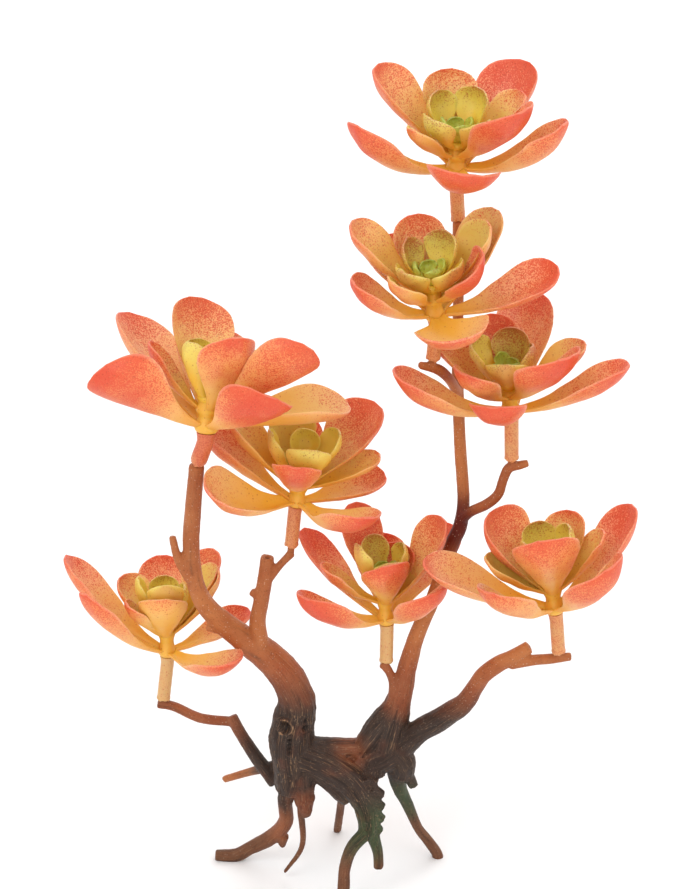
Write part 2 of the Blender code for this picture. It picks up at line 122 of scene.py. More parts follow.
def rgb(code):
    # "E39A22" to linear red, green, blue and alpha
    parts = [int(code[i:i + 2], 16) / 255 for i in (0, 2, 4)]
    return tuple(p / 12.92 if p <= 0.04045 else ((p + 0.055) / 1.055) ** 2.4 for p in parts) + (1.0,)


class nodeDesk:
    # short calls for one node tree
    def __init__(self, tree):
        self.tree = tree

    def add(self, kind, inputs=None, **settings):
        node = self.tree.nodes.new(kind)
        for key, value in settings.items():
            setattr(node, key, value)
        for key, value in (inputs or {}).items():
            self.feed(node.inputs[key], value)
        return node

    def feed(self, socket, value):
        if isinstance(value, bpy.types.NodeSocket):
            self.tree.links.new(value, socket)
        else:
            socket.default_value = value

    def maths(self, operation, first, second=0.0, clamp=False):
        node = self.add("ShaderNodeMath", {0: first, 1: second}, operation=operation, use_clamp=clamp)
        return node.outputs[0]

    def plus(self, first, second):
        return self.maths("ADD", first, second)

    def minus(self, first, second):
        return self.maths("SUBTRACT", first, second)

    def times(self, first, second, clamp=False):
        return self.maths("MULTIPLY", first, second, clamp)

    def larger(self, first, second):
        return self.maths("MAXIMUM", first, second)

    def fade(self, value, low, high, outLow=0.0, outHigh=1.0):
        node = self.add("ShaderNodeMapRange", {"Value": value, "From Min": low, "From Max": high,
                                               "To Min": outLow, "To Max": outHigh},
                        interpolation_type="SMOOTHSTEP")
        return node.outputs["Result"]

    def mix(self, factor, first, second, way="MIX"):
        node = self.add("ShaderNodeMix", {0: factor, 6: first, 7: second}, data_type="RGBA",
                        blend_type=way)
        return node.outputs[2]

    def ramp(self, value, stops):
        node = self.add("ShaderNodeValToRGB", {"Fac": value})
        band = node.color_ramp
        while len(band.elements) < len(stops):
            band.elements.new(0.5)
        for element, (place, code) in zip(band.elements, stops):
            element.position = place
            element.color = rgb(code)
        return node.outputs["Color"]

    def noise(self, vector, scale, detail=3.0, roughness=0.5):
        node = self.add("ShaderNodeTexNoise", {"Vector": vector, "Scale": scale, "Detail": detail,
                                               "Roughness": roughness})
        return node.outputs[0]

    def marks(self, name):
        # the three values that a piece's points carry under this name
        colour = self.add("ShaderNodeAttribute", attribute_name=name).outputs["Color"]
        parted = self.add("ShaderNodeSeparateColor", {0: colour})
        return [parted.outputs[index] for index in range(3)]

    def finish(self, shader, look, colour, cloud, height):
        # colour, cloudy gloss and fine bumps, then the values that are the same all over
        self.feed(shader.inputs["Base Color"], colour)
        self.feed(shader.inputs["Roughness"], self.fade(cloud, 0.2, 0.8, *look["gloss"]))
        bumps = self.add("ShaderNodeBump", {"Strength": look["bumps"], "Distance": look["bumpDepth"],
                                            "Height": height})
        self.feed(shader.inputs["Normal"], bumps.outputs[0])
        for name, value in look["sockets"].items():
            shader.inputs[name].default_value = value


def newGroup(name, inputs, outputs):
    group = bpy.data.node_groups.new(name, "ShaderNodeTree")
    for label, kind, value in inputs:
        socket = group.interface.new_socket(name=label, in_out="INPUT", socket_type=kind)
        if value is not None:
            socket.default_value = value
    for label, kind in outputs:
        group.interface.new_socket(name=label, in_out="OUTPUT", socket_type=kind)
    desk = nodeDesk(group)
    return group, desk, desk.add("NodeGroupInput").outputs, desk.add("NodeGroupOutput").inputs


def makeSpeckles():
    # sprayed dots: a share of the cells of a fine pattern holds a dot of its own size
    group, desk, given, out = newGroup("sprayedDots", [
        ("Vector", "NodeSocketVector", None), ("Scale", "NodeSocketFloat", 1500.0),
        ("Share", "NodeSocketFloat", 0.4), ("Size", "NodeSocketFloat", 0.4)],
        [("Dots", "NodeSocketFloat")])
    cells = desk.add("ShaderNodeTexVoronoi", {"Vector": given["Vector"], "Scale": given["Scale"]})
    parted = desk.add("ShaderNodeSeparateColor", {0: cells.outputs["Color"]})
    chosen = desk.maths("LESS_THAN", parted.outputs[0], given["Share"])
    reach = desk.times(given["Size"], desk.plus(parted.outputs[1], 0.5))
    dot = desk.fade(cells.outputs["Distance"], desk.times(reach, 0.6), reach, 1.0, 0.0)
    desk.feed(out["Dots"], desk.times(dot, chosen))
    return group


def newMaterial(name):
    material = bpy.data.materials.new(name)
    material.use_nodes = True
    desk = nodeDesk(material.node_tree)
    shader = material.node_tree.nodes["Principled BSDF"]
    return material, desk, shader


speckles = makeSpeckles()


def speckle(desk, vector, scale, share, size):
    node = desk.add("ShaderNodeGroup", node_tree=speckles)
    for key, value in (("Vector", vector), ("Scale", scale), ("Share", share), ("Size", size)):
        desk.feed(node.inputs[key], value)
    return node.outputs["Dots"]


# each leaf's rim tone is a painted highlight along its thin rim
leafColours = {
    "outer": dict(inside=[(0, "EEBA42"), (0.3, "EEC478"), (0.6, "F2BC88"), (1, "F09A70")],
                  outside=[(0, "E4A244"), (0.3, "EAB066"), (0.6, "E8965A"), (1, "E47C4A")],
                  young="E0C872", spray="D6442A", rimHighlight="EEBA98", blush="D4503A", dots="B03A20", thin=0.0),
    "middle": dict(inside=[(0, "ECB83C"), (0.3, "EAC466"), (0.6, "EEC27C"), (1, "EE9E6A")],
                   outside=[(0, "E4A640"), (0.3, "EAB45E"), (0.6, "E89A5A"), (1, "E47E4C")],
                   young="DCCA66", spray="D6462A", rimHighlight="EEBE9A", blush="D4543E", dots="B03C20", thin=0.02),
    "inner": dict(inside=[(0, "F0C03C"), (0.3, "E6CC54"), (0.65, "D0BC54"), (1, "C8A856")],
                  outside=[(0, "E8B840"), (0.35, "E4CC60"), (0.8, "DACA6A"), (1, "D4B06C")],
                  young="ECD866", spray="B04C2C", rimHighlight="DEC28C", blush="D68A50", dots="9C3A1C", thin=0.06),
    "core": dict(inside=[(0, "D2C64C"), (0.4, "C2C652"), (1, "AABC54")],
                 outside=[(0, "D6CA50"), (0.4, "C8CC5C"), (1, "B4C45E")],
                 young="C0CC60", spray="94603A", rimHighlight="96B060", blush="B8B856", dots="885A22", thin=0.3),
}
# scales are in cells to a metre, and each share is how much of a colour covers the one below
leafFinish = dict(
    grainScale=2050.0, dotScale=1400.0, mottleScale=430.0, cloudScale=80.0, bumpScale=1600.0,
    toneShift=0.9, cloudShift=0.5,                # how far the two move the red along a leaf
    ripeFade=(0.88, 1.3), ripeShare=0.75,         # solid red at the ripest tips
    youngShare=0.75, blushShare=0.6, rimHighlightShare=0.22,
    sprayFrom=0.55, spraySpread=0.34, sprayMottle=0.15, sprayFade=(0.45, 0.64), sprayShare=(0.74, 0.8),
    dotShare=0.45, dotSize=0.4, gloss=(0.38, 0.52), bumps=0.16, bumpDepth=0.0003,
    sockets={"Specular IOR Level": 0.4, "Subsurface Weight": 0.25,
             "Subsurface Radius": (1.0, 0.5, 0.22), "Subsurface Scale": 0.0018})


def leafMaterial(kind):
    look, finish = leafColours[kind], leafFinish
    material, desk, shader = newMaterial(kind + "LeafPlastic")
    place = desk.add("ShaderNodeTexCoord")
    spot = place.outputs["Object"]
    onLeaf = desk.add("ShaderNodeSeparateXYZ", {0: place.outputs["UV"]})
    across, length = onLeaf.outputs[0], onLeaf.outputs[1]
    side, tone, patch = desk.marks("leafMarks")
    cloud = desk.noise(spot, finish["cloudScale"], 2.0)
    grain = desk.noise(spot, finish["grainScale"], 2.0, 0.65)
    mottle = desk.minus(desk.noise(spot, finish["mottleScale"], 2.0), 0.5)
    # the red creeps down from the tip by the leaf's own tone, unevenly
    along = desk.plus(length, desk.times(desk.minus(tone, 0.5), finish["toneShift"]))
    along = desk.plus(along, desk.times(desk.minus(cloud, 0.5), finish["cloudShift"]))
    ripe = desk.times(along, desk.fade(length, 0.3, 0.9))
    ripe = desk.fade(ripe, *finish["ripeFade"], 0.0, finish["ripeShare"])
    along = desk.times(along, desk.fade(length, 0.0, 0.3), clamp=True)
    # the palest leaves are yellow green inside
    young = desk.fade(tone, 0.3, 0.0, 0.0, finish["youngShare"])
    inside = desk.mix(young, desk.ramp(along, look["inside"]), rgb(look["young"]))
    outside = desk.ramp(along, look["outside"])
    # some outsides have a blush along the middle
    fromMiddle = desk.maths("ABSOLUTE", desk.times(desk.minus(across, 0.5), 2.0))
    blushed = desk.times(desk.fade(fromMiddle, 0.95, 0.3), desk.fade(length, 0.15, 0.5))
    blushed = desk.times(blushed, desk.fade(desk.plus(patch, cloud), 0.9, 1.35))
    outside = desk.mix(desk.times(blushed, finish["blushShare"]), outside, rgb(look["blush"]))
    colour = desk.mix(side, outside, inside)
    # fine red spray, dense at the tip and open towards the root
    reach = desk.times(desk.minus(along, finish["sprayFrom"]), finish["spraySpread"])
    reach = desk.plus(reach, desk.times(mottle, finish["sprayMottle"]))
    reach = desk.minus(reach, look["thin"])
    sprayed = desk.fade(desk.plus(grain, reach), *finish["sprayFade"])
    sprayed = desk.times(sprayed, desk.fade(side, 0.0, 1.0, *finish["sprayShare"]))
    colour = desk.mix(desk.larger(sprayed, ripe), colour, rgb(look["spray"]))
    # single small dots
    share = desk.times(desk.fade(along, 0.1, 0.8, 0.08, 0.42), desk.fade(cloud, 0.3, 0.7, 0.5, 1.3))
    dots = speckle(desk, spot, finish["dotScale"], share, finish["dotSize"])
    colour = desk.mix(desk.times(dots, finish["dotShare"]), colour, rgb(look["dots"]))
    # the thin rim is a little paler: a painted highlight along the leaf's rim
    rim = desk.larger(desk.fade(fromMiddle, 0.93, 1.0), desk.fade(length, 0.975, 1.0))
    rim = desk.times(rim, desk.fade(length, 0.15, 0.5, 0.0, finish["rimHighlightShare"]))
    colour = desk.mix(rim, colour, rgb(look["rimHighlight"]))
    desk.finish(shader, finish, colour, cloud, desk.noise(spot, finish["bumpScale"], 3.0, 0.6))
    return material


# a ring's leaves: number, blade length and width, lift at root and tip in degrees, height and
# distance of the roots from the axis, the turned hub, and the blade it is made of
rings = {
    "outer": dict(leaves=5, length=42, width=23, lifts=(2, 43), height=0, rootRadius=2.2,
                  hub=[(2.5, -1.9), (3.0, -1.7), (3.4, -1.1), (3.8, -0.2), (3.7, 0.7), (3.3, 1.6),
                       (2.95, 2.6), (2.85, 3.73)]),
    "middle": dict(leaves=5, length=35, width=21.5, lifts=(22, 65), height=6, rootRadius=2.2,
                   hub=[(2.85, 3.75), (2.95, 4.5), (3.3, 5.3), (3.6, 6.1), (3.4, 7.0), (3.05, 8.0),
                        (2.75, 9.43)]),
    "inner": dict(leaves=4, length=21, width=14.5, lifts=(22, 82), height=10.5, rootRadius=2.2,
                  hub=[(2.75, 9.45), (3.0, 10.1), (3.5, 11.0), (3.4, 11.8), (2.4, 12.6)]),
    "core": dict(leaves=4, length=9.5, width=6.8, lifts=(28, 90), height=13.6, rootRadius=1,
                 hub=[(1.6, 12.7), (2.0, 13.1), (2.2, 14.0), (1.8, 15.2), (0.7, 16.2)]),
}
blades = {
    "outer": dict(across=10, along=18, tip=0.22, thick=1.15, cup=0.6),
    "middle": dict(across=10, along=18, tip=0.22, thick=1.1, cup=0.6),
    "inner": dict(across=8, along=12, tip=0.25, thick=1.0, cup=0.62),
    "core": dict(across=6, along=10, tip=0.3, thick=0.9, cup=0.6),
}
# each head: its hub and its seat on the branch, how it leans, how far its rings are stretched
# apart, and where each ring's first leaf points; the gap is the bare peg below the stem
heads = {
    "top": dict(hub=(40, 10, 288.5), lean=(0, -6), size=1, stack=0.8, turns=(-86, -46, -45, 10),
                seat=(41, 10, 268.5), gap=0.3),
    "upper": dict(hub=(32.5, -12, 242.5), lean=(-6, -8), size=0.98, stack=1,
                  turns=(-86, -46, -45, 10), seat=(32, -9, 222), gap=2.4),
    "right": dict(hub=(60, -8, 204), lean=(-5, -4), size=1.02, stack=0.92,
                  turns=(-90, -50, -95, -60), seat=(61, -6, 181.5), gap=2.4),
    "low_right": dict(hub=(77.5, -15, 128.5), lean=(-9, -4), size=0.98, stack=1.2,
                      turns=(-126, -90, -70, 10), seat=(80, -12, 106), gap=2.4),
    "low_middle": dict(hub=(16.5, 0, 115.7), lean=(-3, -4), size=0.92, stack=1.35,
                       turns=(-46, -85, -70, 10), seat=(16.5, 1, 94), gap=3),
    "left_middle": dict(hub=(-16.5, 5, 162), lean=(9, -4), size=0.95, stack=1,
                        turns=(-45, -100, -85, 10), seat=(-19, 6, 139.5), gap=3.4),
    "big_left": dict(hub=(-48, -8, 198), lean=(5, 10), size=1.22, stack=0.78,
                     turns=(-124, -85, -45, 10), seat=(-52, -6, 181.5), gap=1),
    "low_left": dict(hub=(-66.5, 18, 92), lean=(0, -2), size=0.92, stack=1.35,
                     turns=(-52, -95, -85, 10), seat=(-69, 19, 67.5), gap=2.8),
}
# each leaf: turn off the even spacing, lift at root and tip, length and width factors, roll, and
# how red it is (0.5 is usual)
leafRows = {
    "top": {
        "outer": [(-2, -12, 4, 0.93, 1.2, -6, 0.75), (0, -8, 16, 1.07, 1.15, -12, 0.45),
                  (-13, 20, 12, 1.08, 1.22, 0, 0.8), (0, 22, 4, 0.62, 0.9, 0, 0.5),
                  (-4, -10, 22, 1.1, 1.02, 12, 0.6)],
        "middle": [(5, 0, -10, 1.06, 1.35, 0, 0.8), (-11, 2, -10, 0.88, 0.85, 0, 0.45),
                   (5, 20, 6, 0.86, 1.02, 0, 0.5), (-6, 8, -8, 1.18, 1.12, 0, 0.7),
                   (-24, -4, -10, 0.72, 0.65, -8, 0)],
        "inner": [(0, 4, -16, 0.8, 1, 0, 0.25), (-7, 24, -2, 1.02, 1.25, 0, 0.5),
                  (12, 20, 2, 0.98, 1.2, 0, 0.5), (0, 4, -14, 0.92, 1.1, 0, 0.25)]},
    "upper": {
        "outer": [(9, -14, -14, 0.82, 1.25, -5, 0.3), (8, -2, -7, 1.13, 0.93, 12, 0.75),
                  (-21, 24, 18, 1.02, 0.88, 0, 0.05), (2, 26, 0, 0.8, 1, 0, 0.5),
                  (-4, 4, 20, 0.86, 1, 4, 0.55)],
        "middle": [(14, 0, -3, 0.88, 1.15, 25, 0.8), (-4, 6, -4, 0.95, 1, 0, 0.1),
                   (8, 20, 8, 0.88, 0.95, 0, 0.5), (-4, 12, -6, 1.14, 1.05, 0, 0.5),
                   (-10, -4, -6, 0.74, 0.8, -8, 0.05)],
        "inner": [(0, 4, -23, 0.82, 1.15, 0, 0.2), (-3, 24, 0, 1.02, 1.25, 0, 0.55),
                  (13, 21, 6, 0.98, 0.95, 0, 0.75), (2, 4, -21, 0.86, 1.15, 0, 0.25)]},
    "right": {
        "outer": [(-16, -6, 19, 0.66, 0.95, 0, 0.85), (0, 6, -4, 1.1, 0.95, -10, 0.6),
                  (17, 26, 14, 1.05, 0.98, 0, 0.65), (-26, 18, 2, 0.75, 0.7, 0, 0.85),
                  (-2, 0, 12, 1.14, 1.05, 4, 0.6)],
        "middle": [(5, 2, -15, 0.98, 1.35, -8, 0.8), (-10, -6, -26, 0.88, 0.86, 0, 0.35),
                   (16, 18, 0, 0.84, 0.9, 0, 0.9), (-11, 0, -12, 0.95, 0.86, 0, 0.6),
                   (-14, -4, -6, 0.8, 0.95, 0, 0.5)],
        "inner": [(0, 8, -14, 0.9, 1.1, 0, 0.2), (-4, 20, 0, 0.85, 0.9, 0, 0.6),
                  (-12, 24, 4, 0.98, 1.05, 0, 0.85), (0, 16, -6, 1.03, 1.25, 0, 0.35)]},
    "low_right": {
        "outer": [(-12, 9, 16, 0.93, 1.1, 0, 0.5), (10, 16, 16, 1, 1.33, 0, 0.6),
                  (2, 20, 14, 1.14, 0.95, 0, 0.75), (0, 16, 6, 0.8, 1, 0, 0.5),
                  (22, 14, 2, 1.26, 1.05, 0, 0.35)],
        "middle": [(3, 22, 10, 1.08, 1.25, 5, 0.65), (20, 10, -8, 0.86, 0.72, 0, 0.45),
                   (-2, 20, 0, 0.86, 0.88, 0, 0.5), (35, 18, 2, 1.08, 1.48, 0, 0.75),
                   (-4, 6, -8, 0.88, 0.72, -16, 0)],
        "inner": [(0, 28, 2, 1, 1, 0, 0.3), (-6, 24, 4, 1.08, 1.04, 0, 0.3),
                  (-3, 23, 0, 1.05, 1.05, 0, 0.45), (2, 26, 6, 0.97, 0.95, 0, 0.2)]},
    "low_middle": {
        "outer": [(0, 16, 14, 0.92, 1.15, 0, 0.65), (22, 10, 0, 1.15, 0.95, 0, 0.7),
                  (-4, 24, 12, 0.85, 1, 0, 0.6), (-18, 24, 14, 1.17, 0.7, 0, 0.85),
                  (-34, -2, 14, 1, 1.28, 20, 0.7)],
        "middle": [(5, 24, 10, 0.8, 1.02, 8, 0.6), (22, 14, 6, 1.24, 1.1, 10, 0.65),
                   (0, 18, 2, 0.68, 0.9, 0, 0.75), (-8, 22, 10, 1.2, 0.9, 0, 1),
                   (-14, 0, -10, 0.9, 0.72, 14, 0.45)],
        "inner": [(0, 26, -4, 0.9, 1, 0, 0.2), (-4, 24, 4, 1, 1.03, 0, 0.2),
                  (7, 26, 0, 1.08, 0.9, 0, 0.65), (5, 25, 6, 1.25, 0.9, 0, 0.1)]},
    "left_middle": {
        "outer": [(0, -20, 4, 0.95, 1.15, -12, 0.55), (-18, 4, -8, 0.82, 0.88, 6, 0.5),
                  (0, 20, 10, 0.85, 1, 0, 0.6), (0, 16, -6, 1.1, 1, 0, 0.6),
                  (-26, -6, -10, 1.1, 1.27, -8, 0.3)],
        "middle": [(0, 1, -5, 0.87, 0.96, 5, 0.7), (30, -4, -20, 0.94, 0.68, 8, 0.3),
                   (-14, 11, -8, 1.24, 1.32, 0, 0.8), (0, 12, 4, 0.9, 1, 0, 0.1),
                   (-24, 0, -20, 1.05, 1, 0, 0.2)],
        "inner": [(0, 6, -2, 1.22, 1.3, 0, 0.1), (4, 18, 0, 1.16, 1.15, 0, 0.1),
                  (-3, 21, 3, 0.9, 0.9, 0, 0.1), (2, 8, -6, 1.14, 1.05, 0, 0.1)]},
    "big_left": {
        "outer": [(-36, 9, -2, 0.84, 1.05, 64, 0.75), (0, 10, 0, 0.72, 1, -36, 0.85),
                  (-6, 2, -34, 0.97, 1, 14, 0.25), (0, 20, 0, 0.9, 1, 0, 0.6),
                  (-24, 20, 2, 1.06, 1, 12, 0.55)],
        "middle": [(24, 24, 8, 0.82, 0.92, 0, 0.55), (-18, 4, -14, 1.1, 0.9, -56, 0.75),
                   (-32, 10, -6, 0.66, 0.7, 0, 0.05), (-20, 22, -2, 1, 1.05, 14, 0.6),
                   (-34, 6, -5, 0.73, 0.6, 6, 0.6)],
        "inner": [(0, 30, 2, 0.9, 0.9, 0, 0.1), (4, 22, 4, 0.85, 1, 0, 0.3),
                  (-3, 24, 0, 0.86, 0.97, 0, 0.3), (3, 26, 2, 0.94, 0.85, 0, 0.1)]},
    "low_left": {
        "outer": [(5, -12, -4, 1.05, 1.05, -4, 0.55), (0, 0, -12, 0.88, 0.75, 0, 0.6),
                  (4, 20, 12, 1, 1, 0, 0.4), (1, 18, 17, 1.38, 1, 16, 0.6),
                  (-31, 22, 22, 1.2, 0.85, 8, 0.6)],
        "middle": [(2, 18, 12, 0.82, 1.02, 0, 0.1), (36, 12, 4, 1.04, 1, 0, 0.25),
                   (-16, 16, 0, 1.14, 1, 0, 0.7), (29, 6, -6, 0.85, 0.95, 0, 0.4),
                   (20, 14, -6, 0.72, 0.72, 0, 0.4)],
        "inner": [(0, 26, 6, 1.15, 1.15, 0, 0.05), (-4, 22, 5, 0.88, 1.03, 0, 0.2),
                  (3, 23, 0, 0.9, 0.96, 0, 0.35), (-2, 20, 3, 1.12, 0.85, 0, 0)]},
}
coreRows = [(0, 0, 0, 1, 1, 0, 0.4), (9, 8, 6, 0.85, 1.1, 0, 0.6), (-6, -6, 8, 1.1, 0.95, 0, 0.5),
            (5, 4, -8, 0.9, 1.05, 0, 0.5)]
bladeShape = dict(neck=0.18, widest=0.71, tipRound=2.6, spoon=0.4, cupPower=2.2, drawIn=0.12, rowEase=1.6,
                  lopsided=0.16, stoutRoot=0.25, thinEdge=0.38,
                  wear=0.22, wearScale=(26, 30), wave=0.5, waveScale=(5, 5))


def bladeHalf(step, tip):
    # half width of a blade that is one wide, from its root at 0 to its tip at 1
    rise = np.minimum(step / bladeShape["widest"], 1)
    fall = np.maximum((step - bladeShape["widest"]) / (1 - bladeShape["widest"]), 0)
    width = bladeShape["neck"] + (1 - bladeShape["neck"]) * rise * rise * (3 - 2 * rise)
    return np.maximum(width * np.maximum(1 - fall ** bladeShape["tipRound"], 0) ** 0.5, tip) / 2


def makeBlade(kind):
    # a flat blade, one long and one wide, with its thickness in mm
    look = blades[kind]
    deselectAll()
    bpy.ops.mesh.primitive_grid_add(x_subdivisions=look["across"], y_subdivisions=look["along"], size=2,
                                    location=(0, 0, 0), enter_editmode=True)
    blade = bpy.context.object
    blade.name = kind + "Blade"
    shape = bmesh.from_edit_mesh(blade.data)
    rows = sorted({round(point.co.y, 4) for point in shape.verts})
    members = [[point for point in shape.verts if abs(point.co.y - row) < 0.001] for row in rows]
    for row, points in zip(rows, members):
        bpy.ops.mesh.select_all(action="DESELECT")
        for point in points:
            point.select = True
        bmesh.update_edit_mesh(blade.data)
        step = 1 - (1 - (row + 1) / 2) ** bladeShape["rowEase"]
        half = float(bladeHalf(np.array(step), look["tip"]))
        bpy.ops.transform.resize(value=(half, 1, 1))
        bpy.ops.transform.translate(value=(0, step - row, 0))
    bpy.ops.object.mode_set(mode="OBJECT")
    applyModifier(blade, "SOLIDIFY", thickness=look["thick"], offset=0)
    applyModifier(blade, "SUBSURF", levels=1, render_levels=1)
    return blade


def headAxes(lean):
    up = Vector((tan(radians(lean[0])), tan(radians(lean[1])), 1)).normalized()
    right = (Vector((1, 0, 0)) - up.x * up).normalized()
    return np.array(right), np.array(up.cross(right)), np.array(up)


def noiseAt(x, y, z):
    return np.array([noise.noise(Vector(place)) for place in zip(x, y, z)])


def bladeNoise(flat, scale, layer):
    return noiseAt(flat[:, 0] * scale[0], flat[:, 1] * scale[1], np.full(len(flat), layer))


def bendBlade(flat, leaf, axes, seed):
    # wraps a flat blade into its leaf's curve, cup and roll
    shape = bladeShape
    right, away, up = axes
    turn, roll = radians(leaf["turn"]), radians(leaf["roll"])
    outward = cos(turn) * right + sin(turn) * away
    sideways = cos(turn) * away - sin(turn) * right
    step = np.clip(flat[:, 1], 0, 1)
    half = bladeHalf(step, leaf["tip"])
    across = np.clip(flat[:, 0] / half, -1.1, 1.1)
    fromMiddle = np.abs(across)
    half = half * leaf["width"]
    # the middle line is an arc from the lift at the root to the lift at the tip
    first = radians(leaf["lifts"][0])
    bend = radians(leaf["lifts"][1]) - first
    lift = first + bend * step
    reach = leaf["length"] * (np.sin(lift) - sin(first)) / bend
    rise = leaf["length"] * (cos(first) - np.cos(lift)) / bend
    face = np.cos(lift)[:, None] * up - np.sin(lift)[:, None] * outward
    roll = (roll * step)[:, None]
    side = np.cos(roll) * sideways + np.sin(roll) * face
    cupWay = np.cos(roll) * face - np.sin(roll) * sideways
    # the edges rise into a cup, and the tip into a spoon
    room = leaf["cup"] * leaf["width"] / 2
    lop = 1 + shape["lopsided"] * leaf["lop"] * across
    power, widest = shape["cupPower"], shape["widest"]
    flattened = np.clip((step - widest) / (1 - widest), 0, 1) ** 2
    hollow = np.where(step > widest, 1 - flattened, bladeHalf(step, 0) * 2)
    cup = room * lop * (hollow * fromMiddle ** power + shape["spoon"] * flattened)
    slope = power * room * hollow * fromMiddle ** (power - 1) * np.sign(across) / half
    # the brink is worn, and the face is a little wavy
    wear = bladeNoise(flat, shape["wearScale"], seed * 3.7)
    wave = bladeNoise(flat, shape["waveScale"], seed * 9.1)
    brink = np.clip((fromMiddle - 0.8) / 0.2, 0, 1) + np.clip((step - 0.93) / 0.07, 0, 1)
    spread = half * across * (1 - shape["drawIn"] * leaf["cup"] * fromMiddle)
    spread = spread + np.sign(across) * wear * shape["wear"] * np.minimum(brink, 1)
    stout = 1 + shape["stoutRoot"] * (1 - np.minimum(step / 0.3, 1))
    thick = flat[:, 2] * stout * (1 - shape["thinEdge"] * fromMiddle ** 3)
    level = 1 / np.sqrt(1 + slope ** 2)
    lifted = cup + wave * shape["wave"] * np.minimum(step * 3, 1)
    points = np.array(leaf["root"]) + outward * (leaf["rootRadius"] + reach)[:, None] + up * rise[:, None]
    points = points + side * (spread - thick * slope * level)[:, None]
    return points + cupWay * (lifted + thick * level)[:, None]


def makeRing(headName, kind, master, material, number):
    head, ring, look = heads[headName], rings[kind], blades[kind]
    axes, size, centre = headAxes(head["lean"]), head["size"], np.array(head["hub"])
    right, away, up = axes
    rows = leafRows[headName].get(kind, coreRows)
    first = head["turns"][list(rings).index(kind)]
    flat = getPoints(master)
    chance = random.Random(number * 17 + 3)
    hub = turnedPiece(headName + "Hub", ring["hub"])
    points = getPoints(hub) / mm * size
    points[:, 2] *= np.where(points[:, 2] > 0, head["stack"], 1)
    points = centre + points[:, :1] * right + points[:, 1:2] * away + points[:, 2:] * up
    setPoints(hub, points * mm)
    # the hub takes the colour of a leaf's root
    hub.data.uv_layers[0].uv.foreach_set("vector", [0.5, 0.02] * len(hub.data.loops))
    setMarks(hub, "leafMarks", np.full((len(points), 3), 0.5))
    pieces = [hub]
    for index, (turn, rootLift, tipLift, length, width, roll, tone) in enumerate(rows):
        leaf = dict(root=centre + up * ring["height"] * head["stack"] * size,
                    rootRadius=ring["rootRadius"] * size,
                    turn=first + 360 / ring["leaves"] * index + turn,
                    lifts=(ring["lifts"][0] + rootLift, ring["lifts"][1] + tipLift),
                    length=ring["length"] * length * size, width=ring["width"] * width * size,
                    tip=look["tip"], roll=roll, cup=look["cup"], lop=chance.uniform(-1, 1))
        piece = master.copy()
        piece.data = master.data.copy()
        bpy.context.scene.collection.objects.link(piece)
        setPoints(piece, bendBlade(flat, leaf, axes, number * 7 + index) * mm)
        # 1 on the inside and 0 on the outside, how red the leaf is, and its blush
        marks = np.empty((len(flat), 3))
        marks[:, 0] = np.clip(flat[:, 2] / look["thick"] * 1.6 + 0.5, 0, 1)
        marks[:, 1] = tone + chance.uniform(-0.08, 0.08)
        marks[:, 2] = chance.random()
        setMarks(piece, "leafMarks", marks)
        pieces.append(piece)
    label = "Core" if kind == "core" else kind.capitalize() + "Leaves"
    slot = "core" if kind == "core" else kind + "_leaves"
    ringPiece = joinAll(pieces, headName.replace("_", "") + label)
    finishPiece(ringPiece, headName + "_" + slot, material, 60)


# how red each head's stem is, from tan at 0 to coral at 1
stemTones = dict(top=0.45, upper=0.5, right=0.42, low_right=0.4, low_middle=0.12, left_middle=0.6,
                 big_left=1.0, low_left=0.08)
stemShape = dict(radius=2.5, elbowDrop=5.0, top=-2.0, topRadius=2.0, collar=3.2, wavy=0.012,
                 lipTop=1.8, lip=2.62, ragged=0.8, bore=1.85, boreDepth=6.6)
stemFinish = dict(
    pale="D2A468", warm="DA9058", coral="CC5E3A", dots="B43A20",
    cloudScale=140.0, grainScale=1800.0, dotScale=1300.0, bumpScale=1200.0,
    cloudShift=0.7, topRedder=0.35, coralShare=0.8, dotShare=0.7,
    gloss=(0.4, 0.55), bumps=0.2, bumpDepth=0.0003,
    sockets={"Subsurface Weight": 0.15, "Subsurface Radius": (1.0, 0.45, 0.15),
             "Subsurface Scale": 0.0015})


def stemMaterial():
    look = stemFinish
    material, desk, shader = newMaterial("stemPlastic")
    spot = desk.add("ShaderNodeTexCoord").outputs["Object"]
    height, tone, _ = desk.marks("stemMarks")
    cloud = desk.noise(spot, look["cloudScale"], 2.0)
    tone = desk.plus(tone, desk.times(desk.minus(cloud, 0.5), look["cloudShift"]))
    colour = desk.mix(desk.fade(tone, 0.1, 0.6), rgb(look["pale"]), rgb(look["warm"]))
    reddened = desk.plus(tone, desk.times(height, look["topRedder"]))
    reddened = desk.fade(reddened, 0.75, 1.3, 0.0, look["coralShare"])
    colour = desk.mix(reddened, colour, rgb(look["coral"]))
    fine = desk.fade(desk.noise(spot, look["grainScale"], 2.0, 0.65), 0.49, 0.6)
    fine = desk.times(fine, desk.fade(tone, 0.0, 0.6, 0.15, 0.85))
    single = desk.times(speckle(desk, spot, look["dotScale"], 0.2, 0.4), 0.7)
    dots = desk.times(desk.larger(fine, single), look["dotShare"])
    colour = desk.mix(dots, colour, rgb(look["dots"]))
    desk.finish(shader, look, colour, cloud, desk.noise(spot, look["bumpScale"]))
    return material


def neckLine(head):
    # the straight way from a head's seat on the branch to the elbow under its hub
    axes, seat = headAxes(head["lean"]), np.array(head["seat"])
    elbow = np.array(head["hub"]) - axes[2] * stemShape["elbowDrop"] * head["size"]
    return axes, seat, elbow, (elbow - seat) / np.linalg.norm(elbow - seat)


